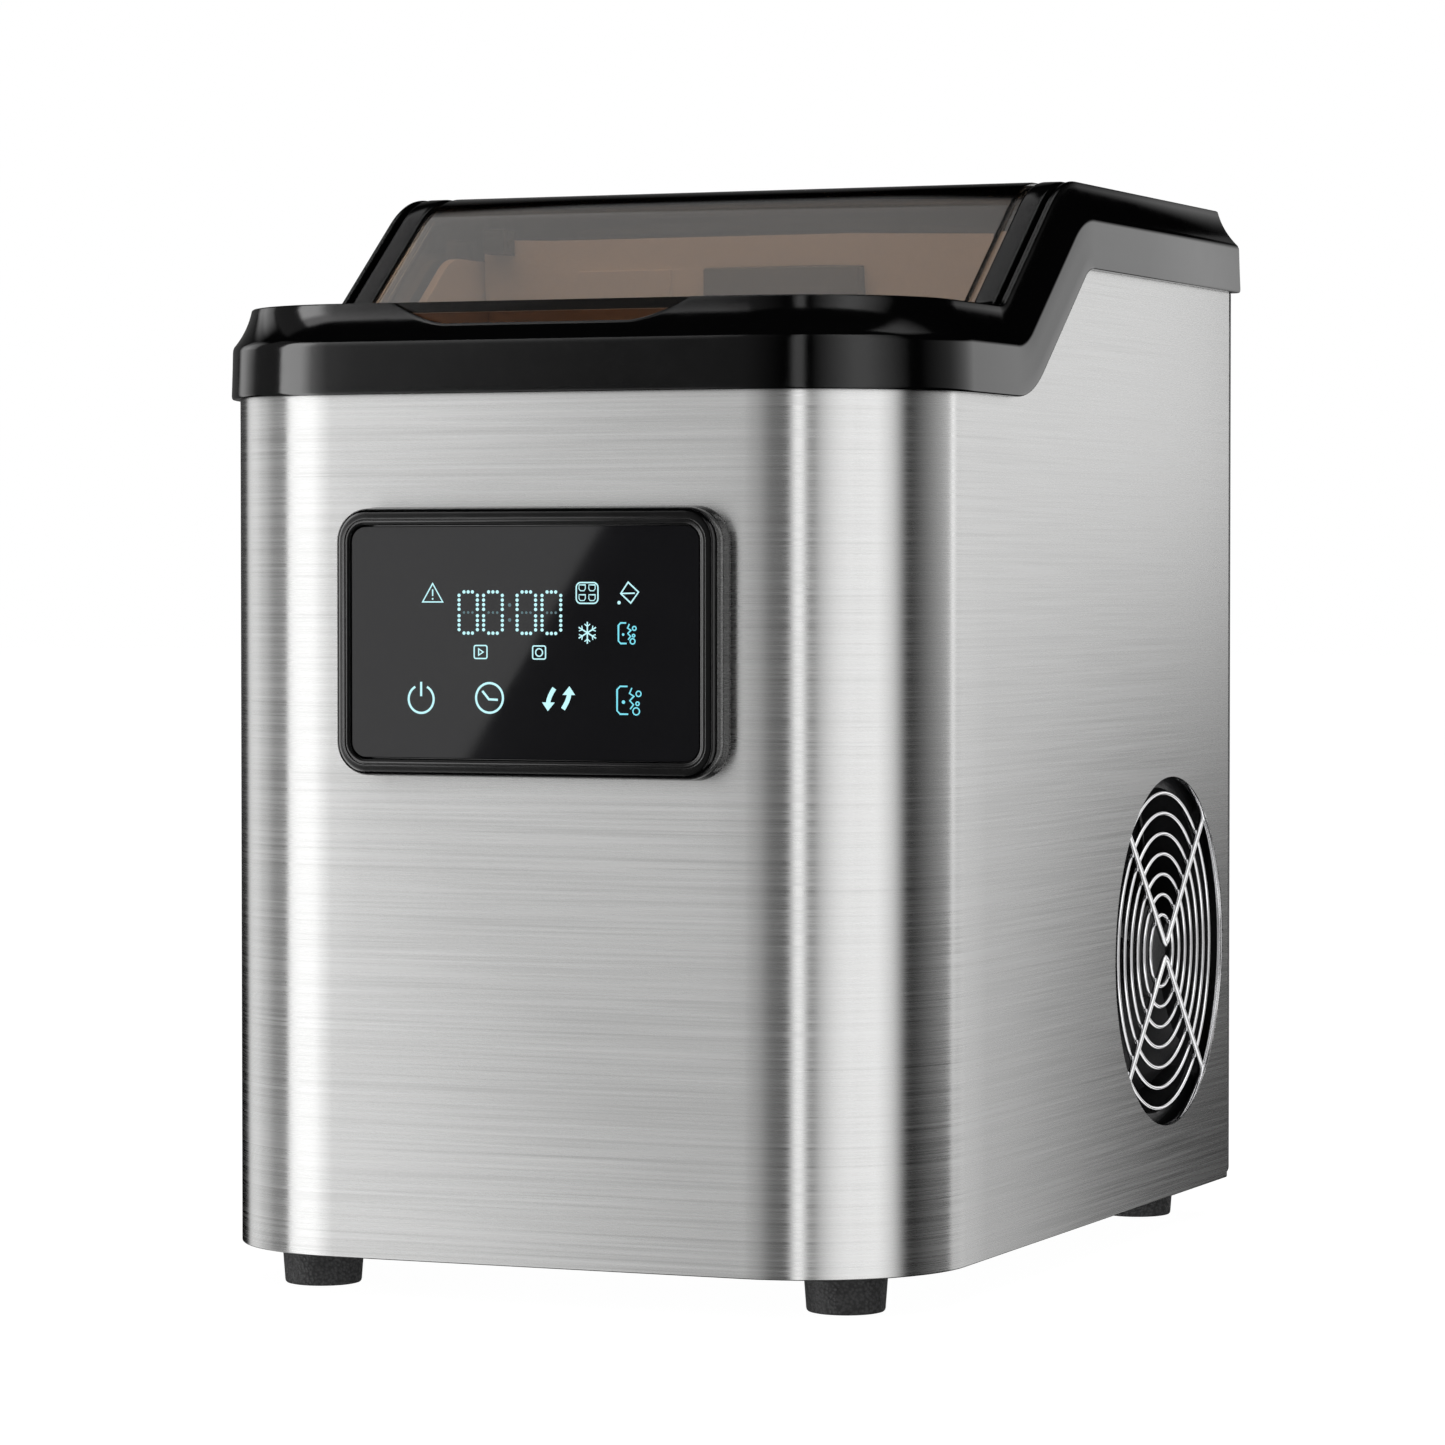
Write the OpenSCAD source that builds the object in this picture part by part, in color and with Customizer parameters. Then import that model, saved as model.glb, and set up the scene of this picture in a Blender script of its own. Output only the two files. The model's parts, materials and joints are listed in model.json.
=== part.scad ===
// Countertop bullet-ice maker: a brushed steel cabinet on rubber feet, a gloss black
// collar whose top steps up towards the back, and a hinged smoked lid that follows it.
// Modules are drawn with X = 0 on the middle plane, Y = 0 on the steel front face and
// Z = 0 on the steel's bottom edge. placed() then moves them to the part's origin,
// the middle of the whole box at the bottom of the feet.

/* [Cabinet] */
// Width over the steel sides
body_w = 220; // [218:1:224]
// Depth from the steel front to the back of the rear panel
body_d = 294.6; // [294:0.2:298]
// Radius of the two front upright corners
corner_r = 47.1; // [46:0.1:48]
// Height of the steel under the low front of the collar
low_h = 243; // [242:1:246]
// How much higher the back of the cabinet is
step_rise = 39.6; // [39:0.1:41]
// Slope of the step, in degrees above level
slope = 38.1; // [37:0.1:39]
// Thickness of the steel sheet
sheet = 0.8; // [0.6:0.1:0.9]
// Height of the rubber feet under the steel
foot_h = 11.5; // [10:0.5:14]

/* [Collar and lid] */
// Overhang of the collar beyond the steel
collar_out = 2.5; // [2:0.1:3]
// Height of the collar's upright band
band_h = 14.7; // [14:0.1:15]
// Height of the collar's rim above the steel's top edge
rim_h = 26; // [25.5:0.1:26.5]
// Depth of the finger recess in the front rim
recess_depth = 6.2; // [5:0.1:7]
// Half width of the finger recess at its flat bottom
recess_half = 28; // [24:1:30]
// Thickness of the smoked window
window_t = 3; // [2.5:0.1:3.2]
// Half width of the raised window between the lid's rails
window_half = 96; // [95:0.5:96]
// Width of each black lid rail
rail_w = 6.2; // [6:0.1:6.2]

/* [Control panel] */
// Width of the panel
panel_w = 116.4; // [112:0.1:120]
// Height of the panel
panel_h = 73.5; // [70:0.1:76]
// How far the panel stands out from the steel
panel_t = 8.8; // [8:0.1:10]
// Height of the panel's middle above the steel's bottom
panel_z = 174; // [170:0.5:178]

/* [Fan grille] */
// Radius of the round opening in the right side
grille_r = 54; // [53:0.5:54.5]
// Distance of its middle behind the steel front
grille_y = 232.9; // [232:0.1:234]
// Height of its middle above the steel's bottom
grille_z = 76.3; // [76:0.1:78]
// Number of wire rings
ring_count = 7; // [5:1:7]
// Distance from one ring to the next
ring_pitch = 6.3; // [6:0.1:6.3]

/* [Ice making] */
// Number of bullet fingers in the front row; the back row has one fewer
finger_count = 5; // [3:1:5]
// Distance between fingers in a row
finger_pitch = 30; // [26:1:30]
// Length of each finger
finger_len = 34; // [30:1:34]
// Height of the water tray's pivot above the steel's bottom
tray_pivot_z = 250; // [249:0.5:252]

/* [Hidden] */
$fn = 48;

// Overall depth runs from the panel's front to the collar's back
origin_y = (body_d + collar_out - panel_t) / 2;
half_w = body_w / 2;
high_h = low_h + step_rise;
bend_y = 96.6;
low_bend_r = 36.5;
high_bend_r = 13;
far = 400;

// Collar section
rim_inner = 5;
ledge_h = 15.5;
ledge_in = 13.5;
skirt_h = -9;
cove_r = 24;
cove_start = 50;
recess_run = 17.5;
steel_tuck = 2.8;

// Splash guard and the sensors on it
guard_top = 295.1;
sensor_top = 285.3;
sensor_left = -17.9;

// Lid
lid_gap = 0.3;
lid_edge = rim_inner + lid_gap;
lid_under = rim_h - window_t;
rail_in = half_w - lid_edge - rail_w;
hinge_y = 232;
hinge_r = 4.5;
hinge_z = high_h + rim_h - hinge_r;
hinge_pin_r = 2.5;
running = 0.05;
hinge_half = 89.5;
lid_back = hinge_y - 5.5;

// Inner liner and its floor steps
liner_in = 15;
liner_t = 2.5;
liner_step_y = 165;
liner_back = 268;
liner_floor = 75;
liner_shelf = 150;
liner_top = 5.8;
liner_half = half_w - liner_in;

// Ice making
tray_half = 80;
tray_depth = 52;
tray_h = 38;
tray_wall = 2.2;
tray_y = 227;
row_front_y = 189;
row_back_y = 212;
manifold_z = 262;
manifold_r = 5;
finger_r = 4.5;
pusher_y = 222;
pusher_z = 264;
shaft_r = 3;

// Control panel, a little to the right of the middle
panel_x = 1.5;

// Fan
fan_x = 97;
fan_r = 48;
shroud_in = 50.5;
motor_r = 21;

// Basket
basket_in = 24;
basket_back = 150;
basket_floor = 128;
basket_top = 230;

// Pump
pump_x = -38;
pump_y = 62;

front_foot = [81, 30.5];
rear_foot = [83.5, 279.5];
foot_spots = [[-front_foot[0], front_foot[1]], [front_foot[0], front_foot[1]],
    [-rear_foot[0], rear_foot[1]], rear_foot];

// ---- Helpers ----

module placed() {
    translate([0, -origin_y, foot_h]) children();
}

// Draws a (y, z) outline as a bar of the given width across X
module across(width) {
    rotate([90, 0, 90]) translate([0, 0, -width / 2]) linear_extrude(width) children();
}

// Draws an (x, z) outline as a plate from y0 towards the back
module facing(y0, depth) {
    translate([0, y0 + depth, 0]) rotate([90, 0, 0]) linear_extrude(depth) children();
}

module box(lo, hi) {
    translate(lo) cube(hi - lo);
}

module rod(from, length, r, axis) {
    turn = axis == "x" ? [0, 90, 0] : axis == "y" ? [-90, 0, 0] : [0, 0, 0];
    translate(from) rotate(turn) cylinder(h = length, r = r);
}

module round_rect(w, h, r) {
    square([w - 2 * r, h], center = true);
    square([w, h - 2 * r], center = true);
    for (x = [-1, 1], y = [-1, 1]) translate([x * (w / 2 - r), y * (h / 2 - r)]) circle(r);
}

// Cabinet plan moved in by inset, rounded at the front and square at the back
module plan(inset, back) {
    r = corner_r - inset;
    translate([inset - half_w, corner_r]) square([body_w - 2 * inset, back - corner_r]);
    translate([corner_r - half_w, inset]) square([body_w - 2 * corner_r, corner_r]);
    for (s = [-1, 1]) translate([s * (half_w - corner_r), corner_r]) circle(r, $fn = 96);
}

module plan_slab(inset, back, z0, z1) {
    translate([0, 0, z0]) linear_extrude(z1 - z0) plan(inset, back);
}

// Corners of the stepped side line, lifted square to itself by h
function low_corner(h) = [bend_y - h * tan(slope / 2), low_h + h];
function high_corner(h) = low_corner(h) + [step_rise / tan(slope), step_rise];

// [y, z, slope] along the two bends of the stepped line lifted by h
function bends(h, n = 6) = let (
    ra = low_bend_r - h,
    rb = high_bend_r + h,
    ca = low_corner(h) + [-ra * tan(slope / 2), ra],
    cb = high_corner(h) + [rb * tan(slope / 2), -rb])
    concat(
        [for (i = [0:n]) let (a = slope * i / n) [ca[0] + ra * sin(a), ca[1] - ra * cos(a), a]],
        [for (i = [0:n]) let (a = slope * (1 - i / n)) [cb[0] - rb * sin(a), cb[1] + rb * cos(a), a]]);

function step_line(h, y0, y1) = concat(
    [[y0, low_h + h]],
    [for (p = bends(h)) [p[0], p[1]]],
    [[y1, high_h + h]]);

function reversed(list) = [for (i = [len(list) - 1:-1:0]) list[i]];

// Outline of a skin that follows the step between two lifts
module step_band(h0, h1, y0, y1) {
    polygon(concat(step_line(h0, y0, y1), reversed(step_line(h1, y0, y1))));
}

// Outline of everything under the stepped line, down to z0
module under_step(h, y0, y1, z0) {
    polygon(concat([[y0, z0]], step_line(h, y0, y1), [[y1, z0]]));
}

// Tube through a list of points, as one swept skin
function unit(v) = v / norm(v);
function path_dir(p, i) = unit(p[min(i + 1, len(p) - 1)] - p[max(i - 1, 0)]);
function side_of(d) = unit(cross(d, abs(d[2]) > 0.9 ? [1, 0, 0] : [0, 0, 1]));

// Points on a rounded polyline: each inner corner becomes a short curve
function curved(p, r) = concat([p[0]],
    [for (i = [1:len(p) - 2]) let (
        a = unit(p[i - 1] - p[i]), b = unit(p[i + 1] - p[i]),
        reach = min(r, norm(p[i - 1] - p[i]) * 0.45, norm(p[i + 1] - p[i]) * 0.45))
        for (t = [0:0.25:1]) p[i] + a * reach * (1 - t) * (1 - t) + b * reach * t * t],
    [p[len(p) - 1]]);

// Carries a side vector along the path without letting it spin
function carried(p, i) = i == 0 ? side_of(path_dir(p, 0)) :
    let (d = path_dir(p, i), s = carried(p, i - 1)) unit(s - d * (s * d));

module swept_tube(p, r, sides = 8) {
    n = len(p);
    rings = [for (i = [0:n - 1]) let (d = path_dir(p, i), s = carried(p, i), u = cross(d, s))
        for (k = [0:sides - 1]) let (a = 360 * k / sides) p[i] + r * (cos(a) * s + sin(a) * u)];
    walls = [for (i = [0:n - 2], k = [0:sides - 1]) let (j = (k + 1) % sides)
        each [[i * sides + k, (i + 1) * sides + j, i * sides + j],
            [i * sides + k, (i + 1) * sides + k, (i + 1) * sides + j]]];
    polyhedron(rings, concat([[for (k = [0:sides - 1]) k]],
        [[for (k = [sides - 1:-1:0]) (n - 1) * sides + k]], walls));
}

// ---- Cabinet shells ----

module panel_hole() {
    translate([panel_x, panel_z]) round_rect(panel_w - 14, panel_h - 14, 4);
}

module side_vents() {
    for (row = [0:8], col = [0:2])
        translate([-half_w, 195 + 28 * col, 40 + 11 * row])
            rotate([90, 0, 90]) linear_extrude(3, center = true) round_rect(22, 4, 1.9);
}

module outer_wrap() {
    steel_back = body_d - 2.6;
    color([0.78, 0.78, 0.77]) difference() {
        intersection() {
            difference() {
                plan_slab(0, steel_back, 0, far);
                plan_slab(sheet, steel_back - sheet, -1, far + 1);
                box([8 - half_w, steel_back - 2, -1], [half_w - 8, steel_back + 1, far + 1]);
                box([sheet - half_w, steel_back - 2, high_h + skirt_h - 0.3],
                    [half_w - sheet, steel_back + 1, far + 1]);
            }
            across(body_w + 2) under_step(steel_tuck, -1, body_d, 0);
        }
        facing(-1, 4) panel_hole();
        rod([half_w - 3, grille_y, grille_z], 6, grille_r, "x", $fn = 96);
        for (p = rear_screw_spots) rod([p[0], body_d - 5, p[1]], 4, 1.6, "y");
        side_vents();
    }
}

module rear_panel() {
    t = 2.6;
    color([0.09, 0.09, 0.09]) difference() {
        facing(body_d - t, t) translate([0, (high_h + 2.4) / 2]) round_rect(body_w - 0.4, high_h + 2, 3);
        for (row = [0:13], s = [-1, 1])
            facing(body_d - t - 1, t + 2) translate([s * 48, 95 + 11 * row]) round_rect(66, 4.4, 2.1);
        rod([-70, body_d - t - 1, 32], t + 2, 9.3, "y");
        rod([75, body_d - t - 1, 40], t + 2, 8.2, "y");
        for (p = rear_screw_spots) rod([p[0], body_d - t - 1, p[1]], t + 2, 1.7, "y");
        box([-half_w - 1, body_d - t - 1, high_h + skirt_h - 0.3], [half_w + 1, body_d - 0.8, far]);
    }
}

rear_screw_spots = [[-103.5, 20], [103.5, 20], [-103.5, 150], [103.5, 150], [-103.5, 255],
    [103.5, 255], [0, 12]];

module rear_screws() {
    color([0.6, 0.6, 0.6]) for (p = rear_screw_spots) {
        rod([p[0], body_d - 8, p[1]], 8, 1.5, "y");
        rod([p[0], body_d, p[1]], 1.8, 3.2, "y");
    }
}

module base_pan() {
    color([0.12, 0.12, 0.12]) difference() {
        union() {
            plan_slab(sheet + 0.2, body_d - 3.8, 0.5, 3);
            difference() {
                plan_slab(sheet + 0.2, body_d - 3.8, 2, 16);
                plan_slab(sheet + 2.4, body_d - 6, 1, 17);
            }
            for (p = foot_spots) rod([p[0], p[1], 2], 8, 5, "z");
            for (p = grommet_spots) rod([p[0], p[1], 2], 2.6, 7, "z");
            for (p = board_posts) rod([p[0], p[1], 2], 10, 3, "z");
        }
        for (p = foot_spots) rod([p[0], p[1], -1], 12, 1.6, "z");
        for (p = rear_screw_spots) rod([p[0], body_d - 10, p[1]], 9, 1.6, "y");
        for (x = [-25:10:25]) box([x - 2, 120, -1], [x + 2, 150, 4]);
    }
}

module foot(spot) {
    color([0.17, 0.17, 0.17]) translate([spot[0], spot[1], -foot_h]) difference() {
        rotate_extrude($fn = 64) difference() {
            polygon([[0, 0], [10.2, 0], [10.75, 0.25], [11, 0.8], [11.9, foot_h + 0.5], [0, foot_h + 0.5]]);
            square([2, 2 * foot_h]);
            translate([0, -1]) square([5.5, 6]);
        }
    }
}

module foot_screws() {
    color([0.62, 0.62, 0.62]) for (p = foot_spots) {
        rod([p[0], p[1], 2.2 - foot_h], 2.6, 4.2, "z");
        rod([p[0], p[1], 4 - foot_h], foot_h + 4, 1.4, "z");
    }
}

// ---- Collar, rear cover and hinge blocks ----

// Distance out and lift of the cove above the band at height h
cove_foot = [collar_out - 0.7, band_h + 0.35];
function cove_angle(h) = acos(cos(cove_start) - (h - cove_foot[1]) / cove_r);
function cove_out(h) = cove_foot[0] - cove_r * (sin(cove_angle(h)) - sin(cove_start));

// Closed section of the collar as [distance out, lift], with its rim at height top
function collar_section(top) = let (
    shoulder = top - 0.5,
    edge = cove_out(shoulder))
    concat(
        [[-1, skirt_h], [-1, steel_tuck + 0.4], [0.2, steel_tuck + 0.4], [0.2, 0.5], [0.9, 0],
            [collar_out - 0.6, 0], [collar_out, 0.8], [collar_out - 0.4, band_h - 0.5],
            [collar_out - 0.5, band_h]],
        [for (k = [0:4]) let (h = cove_foot[1] + (shoulder - cove_foot[1]) * k / 4) [cove_out(h), h]],
        [[edge - 0.3, top - 0.1], [0.4 - rim_inner, top], [-rim_inner, top - 0.5],
            [-rim_inner, ledge_h], [-ledge_in, ledge_h], [-ledge_in, liner_top + 0.2],
            [2.2 - ledge_in, liner_top + 0.2], [2.2 - ledge_in, ledge_h - 2.5],
            [-3.4, ledge_h - 2.5], [-3.4, skirt_h]]);

function recess_at(x) = let (t = max(0, min(1, (recess_half + recess_run - x) / recess_run)))
    recess_depth * (1 - pow(1 - t, 1.55));

// Stations round the right half: [x, y, z, out x, out y, slope, rim height]
corner_steps = 12;
right_stations = concat(
    [for (x = concat([0], [for (k = [0:6]) recess_half + recess_run * k / 6]))
        [x, 0, low_h, 0, -1, 0, rim_h - recess_at(x)]],
    [for (k = [0:corner_steps]) let (a = 90 * k / corner_steps)
        [half_w - corner_r * (1 - sin(a)), corner_r * (1 - cos(a)), low_h, sin(a), -cos(a), 0, rim_h]],
    [for (p = bends(0)) [half_w, p[0], p[1], 1, 0, p[2], rim_h]],
    [for (c = [[0, 1.2], [0.35, 0.35], [1.2, 0]])
        [half_w - c[0], body_d - c[1], high_h, 1, 1, 0, rim_h]],
    [[0, body_d, high_h, 0, 1, 0, rim_h]]);
left_stations = [for (i = [len(right_stations) - 2:-1:1]) let (s = right_stations[i])
    [-s[0], s[1], s[2], -s[3], s[4], s[5], s[6]]];
stations = concat(right_stations, left_stations);

module top_collar() {
    count = len(stations);
    m = len(collar_section(rim_h));
    points = [for (s = stations, q = collar_section(s[6]))
        [s[0] + q[0] * s[3], s[1] + q[0] * s[4] - q[1] * sin(s[5]), s[2] + q[1] * cos(s[5])]];
    faces = [for (i = [0:count - 1], k = [0:m - 1]) let (
        i2 = (i + 1) % count, k2 = (k + 1) % m,
        a = i * m + k, b = i2 * m + k, c = i2 * m + k2, d = i * m + k2)
        each [[a, c, b], [a, d, c]]];
    color([0.05, 0.05, 0.05]) polyhedron(points, faces);
}

module rear_cover() {
    front = hinge_y + 5.5;
    back = body_d - lid_edge;
    x = half_w - lid_edge;
    z0 = high_h + ledge_h + 0.1;
    z1 = high_h + rim_h;
    color([0.06, 0.06, 0.06]) difference() {
        translate([0, 0, z0]) linear_extrude(z1 - z0) polygon([[-x, front], [x, front],
            [x, back - 1.5], [x - 1.5, back], [1.5 - x, back], [-x, back - 1.5]]);
        box([2.4 - x, front + 2.4, z0 - 1], [x - 2.4, back - 2.4, z1 - 2.4]);
        for (s = [-1, 1]) box([s * 97.5 - 8, front - 1, z0 - 1], [s * 97.5 + 8, front + 0.5, z1 + 1]);
    }
}

module hinge_blocks() {
    x0 = hinge_half + 1;
    z0 = high_h + ledge_h + 0.1;
    color([0.05, 0.05, 0.05]) for (s = [-1, 1]) difference() {
        union() {
            translate([s * (x0 + half_w - lid_edge) / 2, hinge_y, hinge_z]) rotate([0, 90, 0])
                cylinder(h = half_w - lid_edge - x0, r = hinge_r, center = true);
            box([s > 0 ? x0 : lid_edge - half_w, hinge_y - 2, z0],
                [s > 0 ? half_w - lid_edge : -x0, hinge_y + 5.4, hinge_z]);
            box([s > 0 ? x0 : lid_edge - half_w, hinge_y, hinge_z - 1],
                [s > 0 ? half_w - lid_edge : -x0, hinge_y + 5.4, hinge_z + hinge_r - 0.6]);
        }
        rod([s > 0 ? x0 - 1 : -x0 - 9, hinge_y, hinge_z], 10, hinge_pin_r + running, "x");
    }
}

// ---- Lid ----

module lid_slab(h0, h1, back, half) {
    intersection() {
        plan_slab(lid_edge, back, low_h, far);
        across(2 * half) step_band(h0, h1, 0, body_d);
    }
}

module lid_window() {
    back = hinge_y - 10;
    color([0.42, 0.36, 0.31, 0.55]) union() {
        lid_slab(lid_under, rim_h, back, window_half);
        lid_slab(lid_under, lid_under + 1.2, back, rail_in);
        intersection() {
            difference() {
                plan_slab(lid_edge, 60, low_h + ledge_h + 0.6, low_h + rim_h - 1);
                plan_slab(lid_edge + 2.6, 61, low_h, low_h + rim_h);
            }
            box([-window_half, 0, low_h], [window_half, 30, far]);
        }
    }
}

module lid_rail(side) {
    color([0.05, 0.05, 0.05]) intersection() {
        plan_slab(lid_edge, lid_back, low_h, far);
        across(body_w) step_band(ledge_h + 0.8, rim_h, 0, body_d);
        box([side > 0 ? rail_in : -half_w, 0, low_h], [side > 0 ? half_w : -rail_in, body_d, far]);
    }
}

module lid_hinge_bar() {
    z1 = hinge_z + hinge_r;
    color([0.05, 0.05, 0.05]) union() {
        translate([0, hinge_y, hinge_z]) rotate([0, 90, 0])
            cylinder(h = 2 * hinge_half, r = hinge_r - 0.01, center = true);
        box([-hinge_half, hinge_y - 10, z1 - window_t], [hinge_half, hinge_y - 0.5, z1 - 0.01]);
        box([-rail_in, hinge_y - 10, z1 - window_t], [rail_in, lid_back, z1 - 0.01]);
        translate([0, hinge_y, hinge_z]) rotate([0, 90, 0])
            cylinder(h = 2 * hinge_half + 16, r = hinge_pin_r, center = true);
    }
}

module lid_bumpers() {
    z = low_h + ledge_h;
    color([0.2, 0.2, 0.2]) for (s = [-1, 1], y = [60, 76])
        box([s * 101.5 - 2, y, z + 0.15], [s * 101.5 + 2, y + 6, z + 0.8]);
}

// ---- Control panel ----

module panel_bezel() {
    ring = 5.2;
    color([0.08, 0.08, 0.08]) translate([panel_x, 0, 0]) difference() {
        union() {
            facing(-3.3, 3.25) translate([0, panel_z]) round_rect(panel_w, panel_h, 9.8);
            facing(-7.6, 4.4) translate([0, panel_z]) round_rect(panel_w - 0.8, panel_h - 0.8, 9.4);
            facing(-panel_t, 1.3) translate([0, panel_z]) round_rect(panel_w - 3, panel_h - 3, 8.4);
            facing(-1, 9) translate([0, panel_z]) round_rect(panel_w - 14.6, panel_h - 14.6, 3.8);
        }
        facing(-panel_t - 1, 5.2) translate([0, panel_z])
            round_rect(panel_w - 2 * ring, panel_h - 2 * ring, 5);
        facing(-6, 20) translate([0, panel_z]) round_rect(panel_w - 19, panel_h - 19, 2);
    }
}

module panel_glass() {
    ring = 5.45;
    color([0.03, 0.03, 0.035]) translate([panel_x, 0, 0]) facing(0.5 - panel_t, 3.6)
        translate([0, panel_z]) round_rect(panel_w - 2 * ring, panel_h - 2 * ring, 4.75);
}

module control_board() {
    w = panel_w - 21;
    h = panel_h - 21;
    color([0.1, 0.35, 0.18]) translate([panel_x, 0, 0]) {
        facing(2, 1.6) translate([0, panel_z]) round_rect(w, h, 1.5);
        facing(-3, 5.2) translate([-4, panel_z + 7]) square([34, 15], center = true);
        for (x = [-32, -10, 12, 34])
            facing(-3.2, 5.4) translate([x, panel_z - 15]) circle(5);
        facing(3.4, 6) translate([0, panel_z - 17]) square([26, 7], center = true);
    }
}

// ---- Fan and grille ----

module fan_guard() {
    wire = 0.65;
    leg = 0.95;
    ring_x = half_w - 3.2;
    leg_x = ring_x + 1.3;
    reach = 57.5;
    color([0.85, 0.85, 0.86]) translate([0, grille_y, grille_z]) {
        for (k = [0:ring_count - 1]) translate([ring_x, 0, 0]) rotate([0, 90, 0])
            rotate_extrude($fn = 96) translate([11.05 + ring_pitch * k, 0]) circle(wire);
        for (up = [-1, 1]) translate([leg_x, 0, up * 1.6]) {
            sphere(leg);
            for (s = [-1, 1]) rotate([up > 0 ? s * 45 : 180 + s * 45, 0, 0]) cylinder(h = reach, r = leg);
        }
    }
}

module fan_shroud() {
    x0 = 84;
    x1 = 104.8;
    color([0.08, 0.08, 0.08]) difference() {
        union() {
            box([x1 - 2, 177, 18.5], [x1, 286, 134]);
            rod([x0, grille_y, grille_z], x1 - x0, shroud_in + 2.2, "x", $fn = 96);
            for (y = [-41, 41], z = [-41, 41]) rod([x1 - 1, grille_y + y, grille_z + z], 3.2, 3.5, "x");
        }
        rod([x0 + 2.2, grille_y, grille_z], 30, shroud_in, "x", $fn = 96);
        difference() {
            rod([x0 - 1, grille_y, grille_z], 5, shroud_in, "x", $fn = 96);
            rod([x0 - 1, grille_y, grille_z], 5, motor_r + 3, "x");
            for (a = [45, 135]) translate([x0 + 1, grille_y, grille_z]) rotate([a, 0, 0])
                cube([5, 9, 2 * shroud_in + 2], center = true);
        }
        rod([x0 - 2, grille_y, grille_z], 8, motor_r - 6, "x");
        for (y = [-51, 51], z = [-51, 51])
            rod([x1 - 6, grille_y + y, grille_z + z], 10, 1.8, "x");
    }
}

module fan_blade() {
    color([0.12, 0.12, 0.12]) translate([fan_x, grille_y, grille_z]) rotate([0, 90, 0]) {
        difference() {
            translate([0, 0, -6]) cylinder(h = 13, r = 15);
            translate([0, 0, -7]) cylinder(h = 11, r = 2.5 + running);
        }
        intersection() {
            for (k = [0:4]) rotate(72 * k) translate([0, 0, 0.5]) rotate([28, 0, 0])
                translate([13, -14, -0.9]) cube([40, 28, 1.8]);
            translate([0, 0, -8]) difference() {
                cylinder(h = 17, r = fan_r, $fn = 96);
                translate([0, 0, -1]) cylinder(h = 20, r = 14);
            }
        }
    }
}

module fan_motor() {
    color([0.55, 0.55, 0.56]) union() {
        rod([61, grille_y, grille_z], 22.9, motor_r, "x");
        rod([83, grille_y, grille_z], 3, motor_r - 6.3, "x");
        rod([84, grille_y, grille_z], 14, 2.5, "x");
    }
}

// ---- Refrigeration ----

module condenser_fins() {
    color([0.72, 0.73, 0.74]) difference() {
        for (k = [0:21]) box([33, 194 + 3.6 * k, 18], [57, 194.5 + 3.6 * k, 128]);
        condenser_rows(3.3);
    }
}

module condenser_rows(r) {
    for (row = [0:4]) rod([45, 192, 28 + 22 * row], 80, r, "y");
}

module condenser_tubes() {
    bend = 11;
    color([0.72, 0.42, 0.26]) union() {
        condenser_rows(3.1);
        for (row = [0:3]) translate([45, row % 2 == 0 ? 272 : 192, 39 + 22 * row])
            rotate([90, 0, 90]) rotate([0, 0, row % 2 == 0 ? -90 : 90])
                rotate_extrude(angle = 180) translate([bend, 0]) circle(3.1);
    }
}

comp_spot = [-46, 228];
comp_feet = [45, 165, 285];
grommet_spots = [for (a = comp_feet) [comp_spot[0] + 48 * cos(a), comp_spot[1] + 48 * sin(a)]];

module compressor() {
    r = 45;
    color([0.07, 0.07, 0.07]) difference() {
        union() {
            translate([comp_spot[0], comp_spot[1], 0]) {
                translate([0, 0, 13.5]) rotate_extrude($fn = 96) polygon(concat(
                    [[0, 0], [36, 0], [r, 12], [r, 52], [r + 3, 52], [r + 3, 56], [r, 56]],
                    [for (a = [0:15:75]) [20 + 25 * cos(a), 87 + 25 * sin(a)]],
                    [[19, 112], [0, 112]]));
                translate([-14, -22, 110]) cylinder(h = 20, r = 9);
            }
            for (p = grommet_spots) rod([p[0], p[1], 12], 3, 9, "z");
            for (a = comp_feet) translate([comp_spot[0], comp_spot[1], 12]) rotate(a)
                translate([10, -8, 0.4]) cube([38, 16, 2.2]);
        }
        for (p = grommet_spots) rod([p[0], p[1], 10], 8, 4.2, "z");
    }
}

module compressor_grommets() {
    color([0.15, 0.15, 0.15]) for (p = grommet_spots) difference() {
        union() {
            rod([p[0], p[1], 4.7], 7.2, 7.5, "z");
            rod([p[0], p[1], 11], 6, 4, "z");
            rod([p[0], p[1], 15.1], 3, 7, "z");
        }
        rod([p[0], p[1], 4], 20, 2, "z");
    }
}

module filter_drier() {
    color([0.75, 0.45, 0.28]) translate([20, 200, 60]) union() {
        cylinder(h = 60, r = 8);
        translate([0, 0, 59]) cylinder(h = 8, r1 = 8, r2 = 3);
        translate([0, 0, -7]) cylinder(h = 8, r1 = 2, r2 = 8);
    }
}

module hot_gas_valve() {
    color([0.8, 0.66, 0.32]) union() {
        box([10, 262, 96], [30, 282, 122]);
        rod([20, 272, 84], 13, 7, "z");
        rod([20, 272, 121], 8, 5, "z");
    }
}

// Routes of the refrigerant lines
suction_route = [[76.5, 212, 262], [101, 212, 262], [101, 240, 268], [101, 268, 256], [101, 276, 155],
    [40, 281, 148], [-18, 264, 145], [-40, 244, 141], [-40, 244, 127]];
discharge_route = [[-70, 232, 127], [-70, 232, 139], [-52, 264, 139], [0, 283, 134], [34, 285, 126],
    [45, 284, 117], [45, 272.5, 116]];
inlet_route = [[76.5, 189, 262], [101, 189, 262], [101, 180, 240], [101, 172, 140], [60, 174, 139],
    [20, 188, 138], [20, 200, 136], [20, 200, 127.5]];

module suction_line() {
    color([0.72, 0.42, 0.26]) swept_tube(curved(suction_route, 9), 2.6);
}

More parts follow.
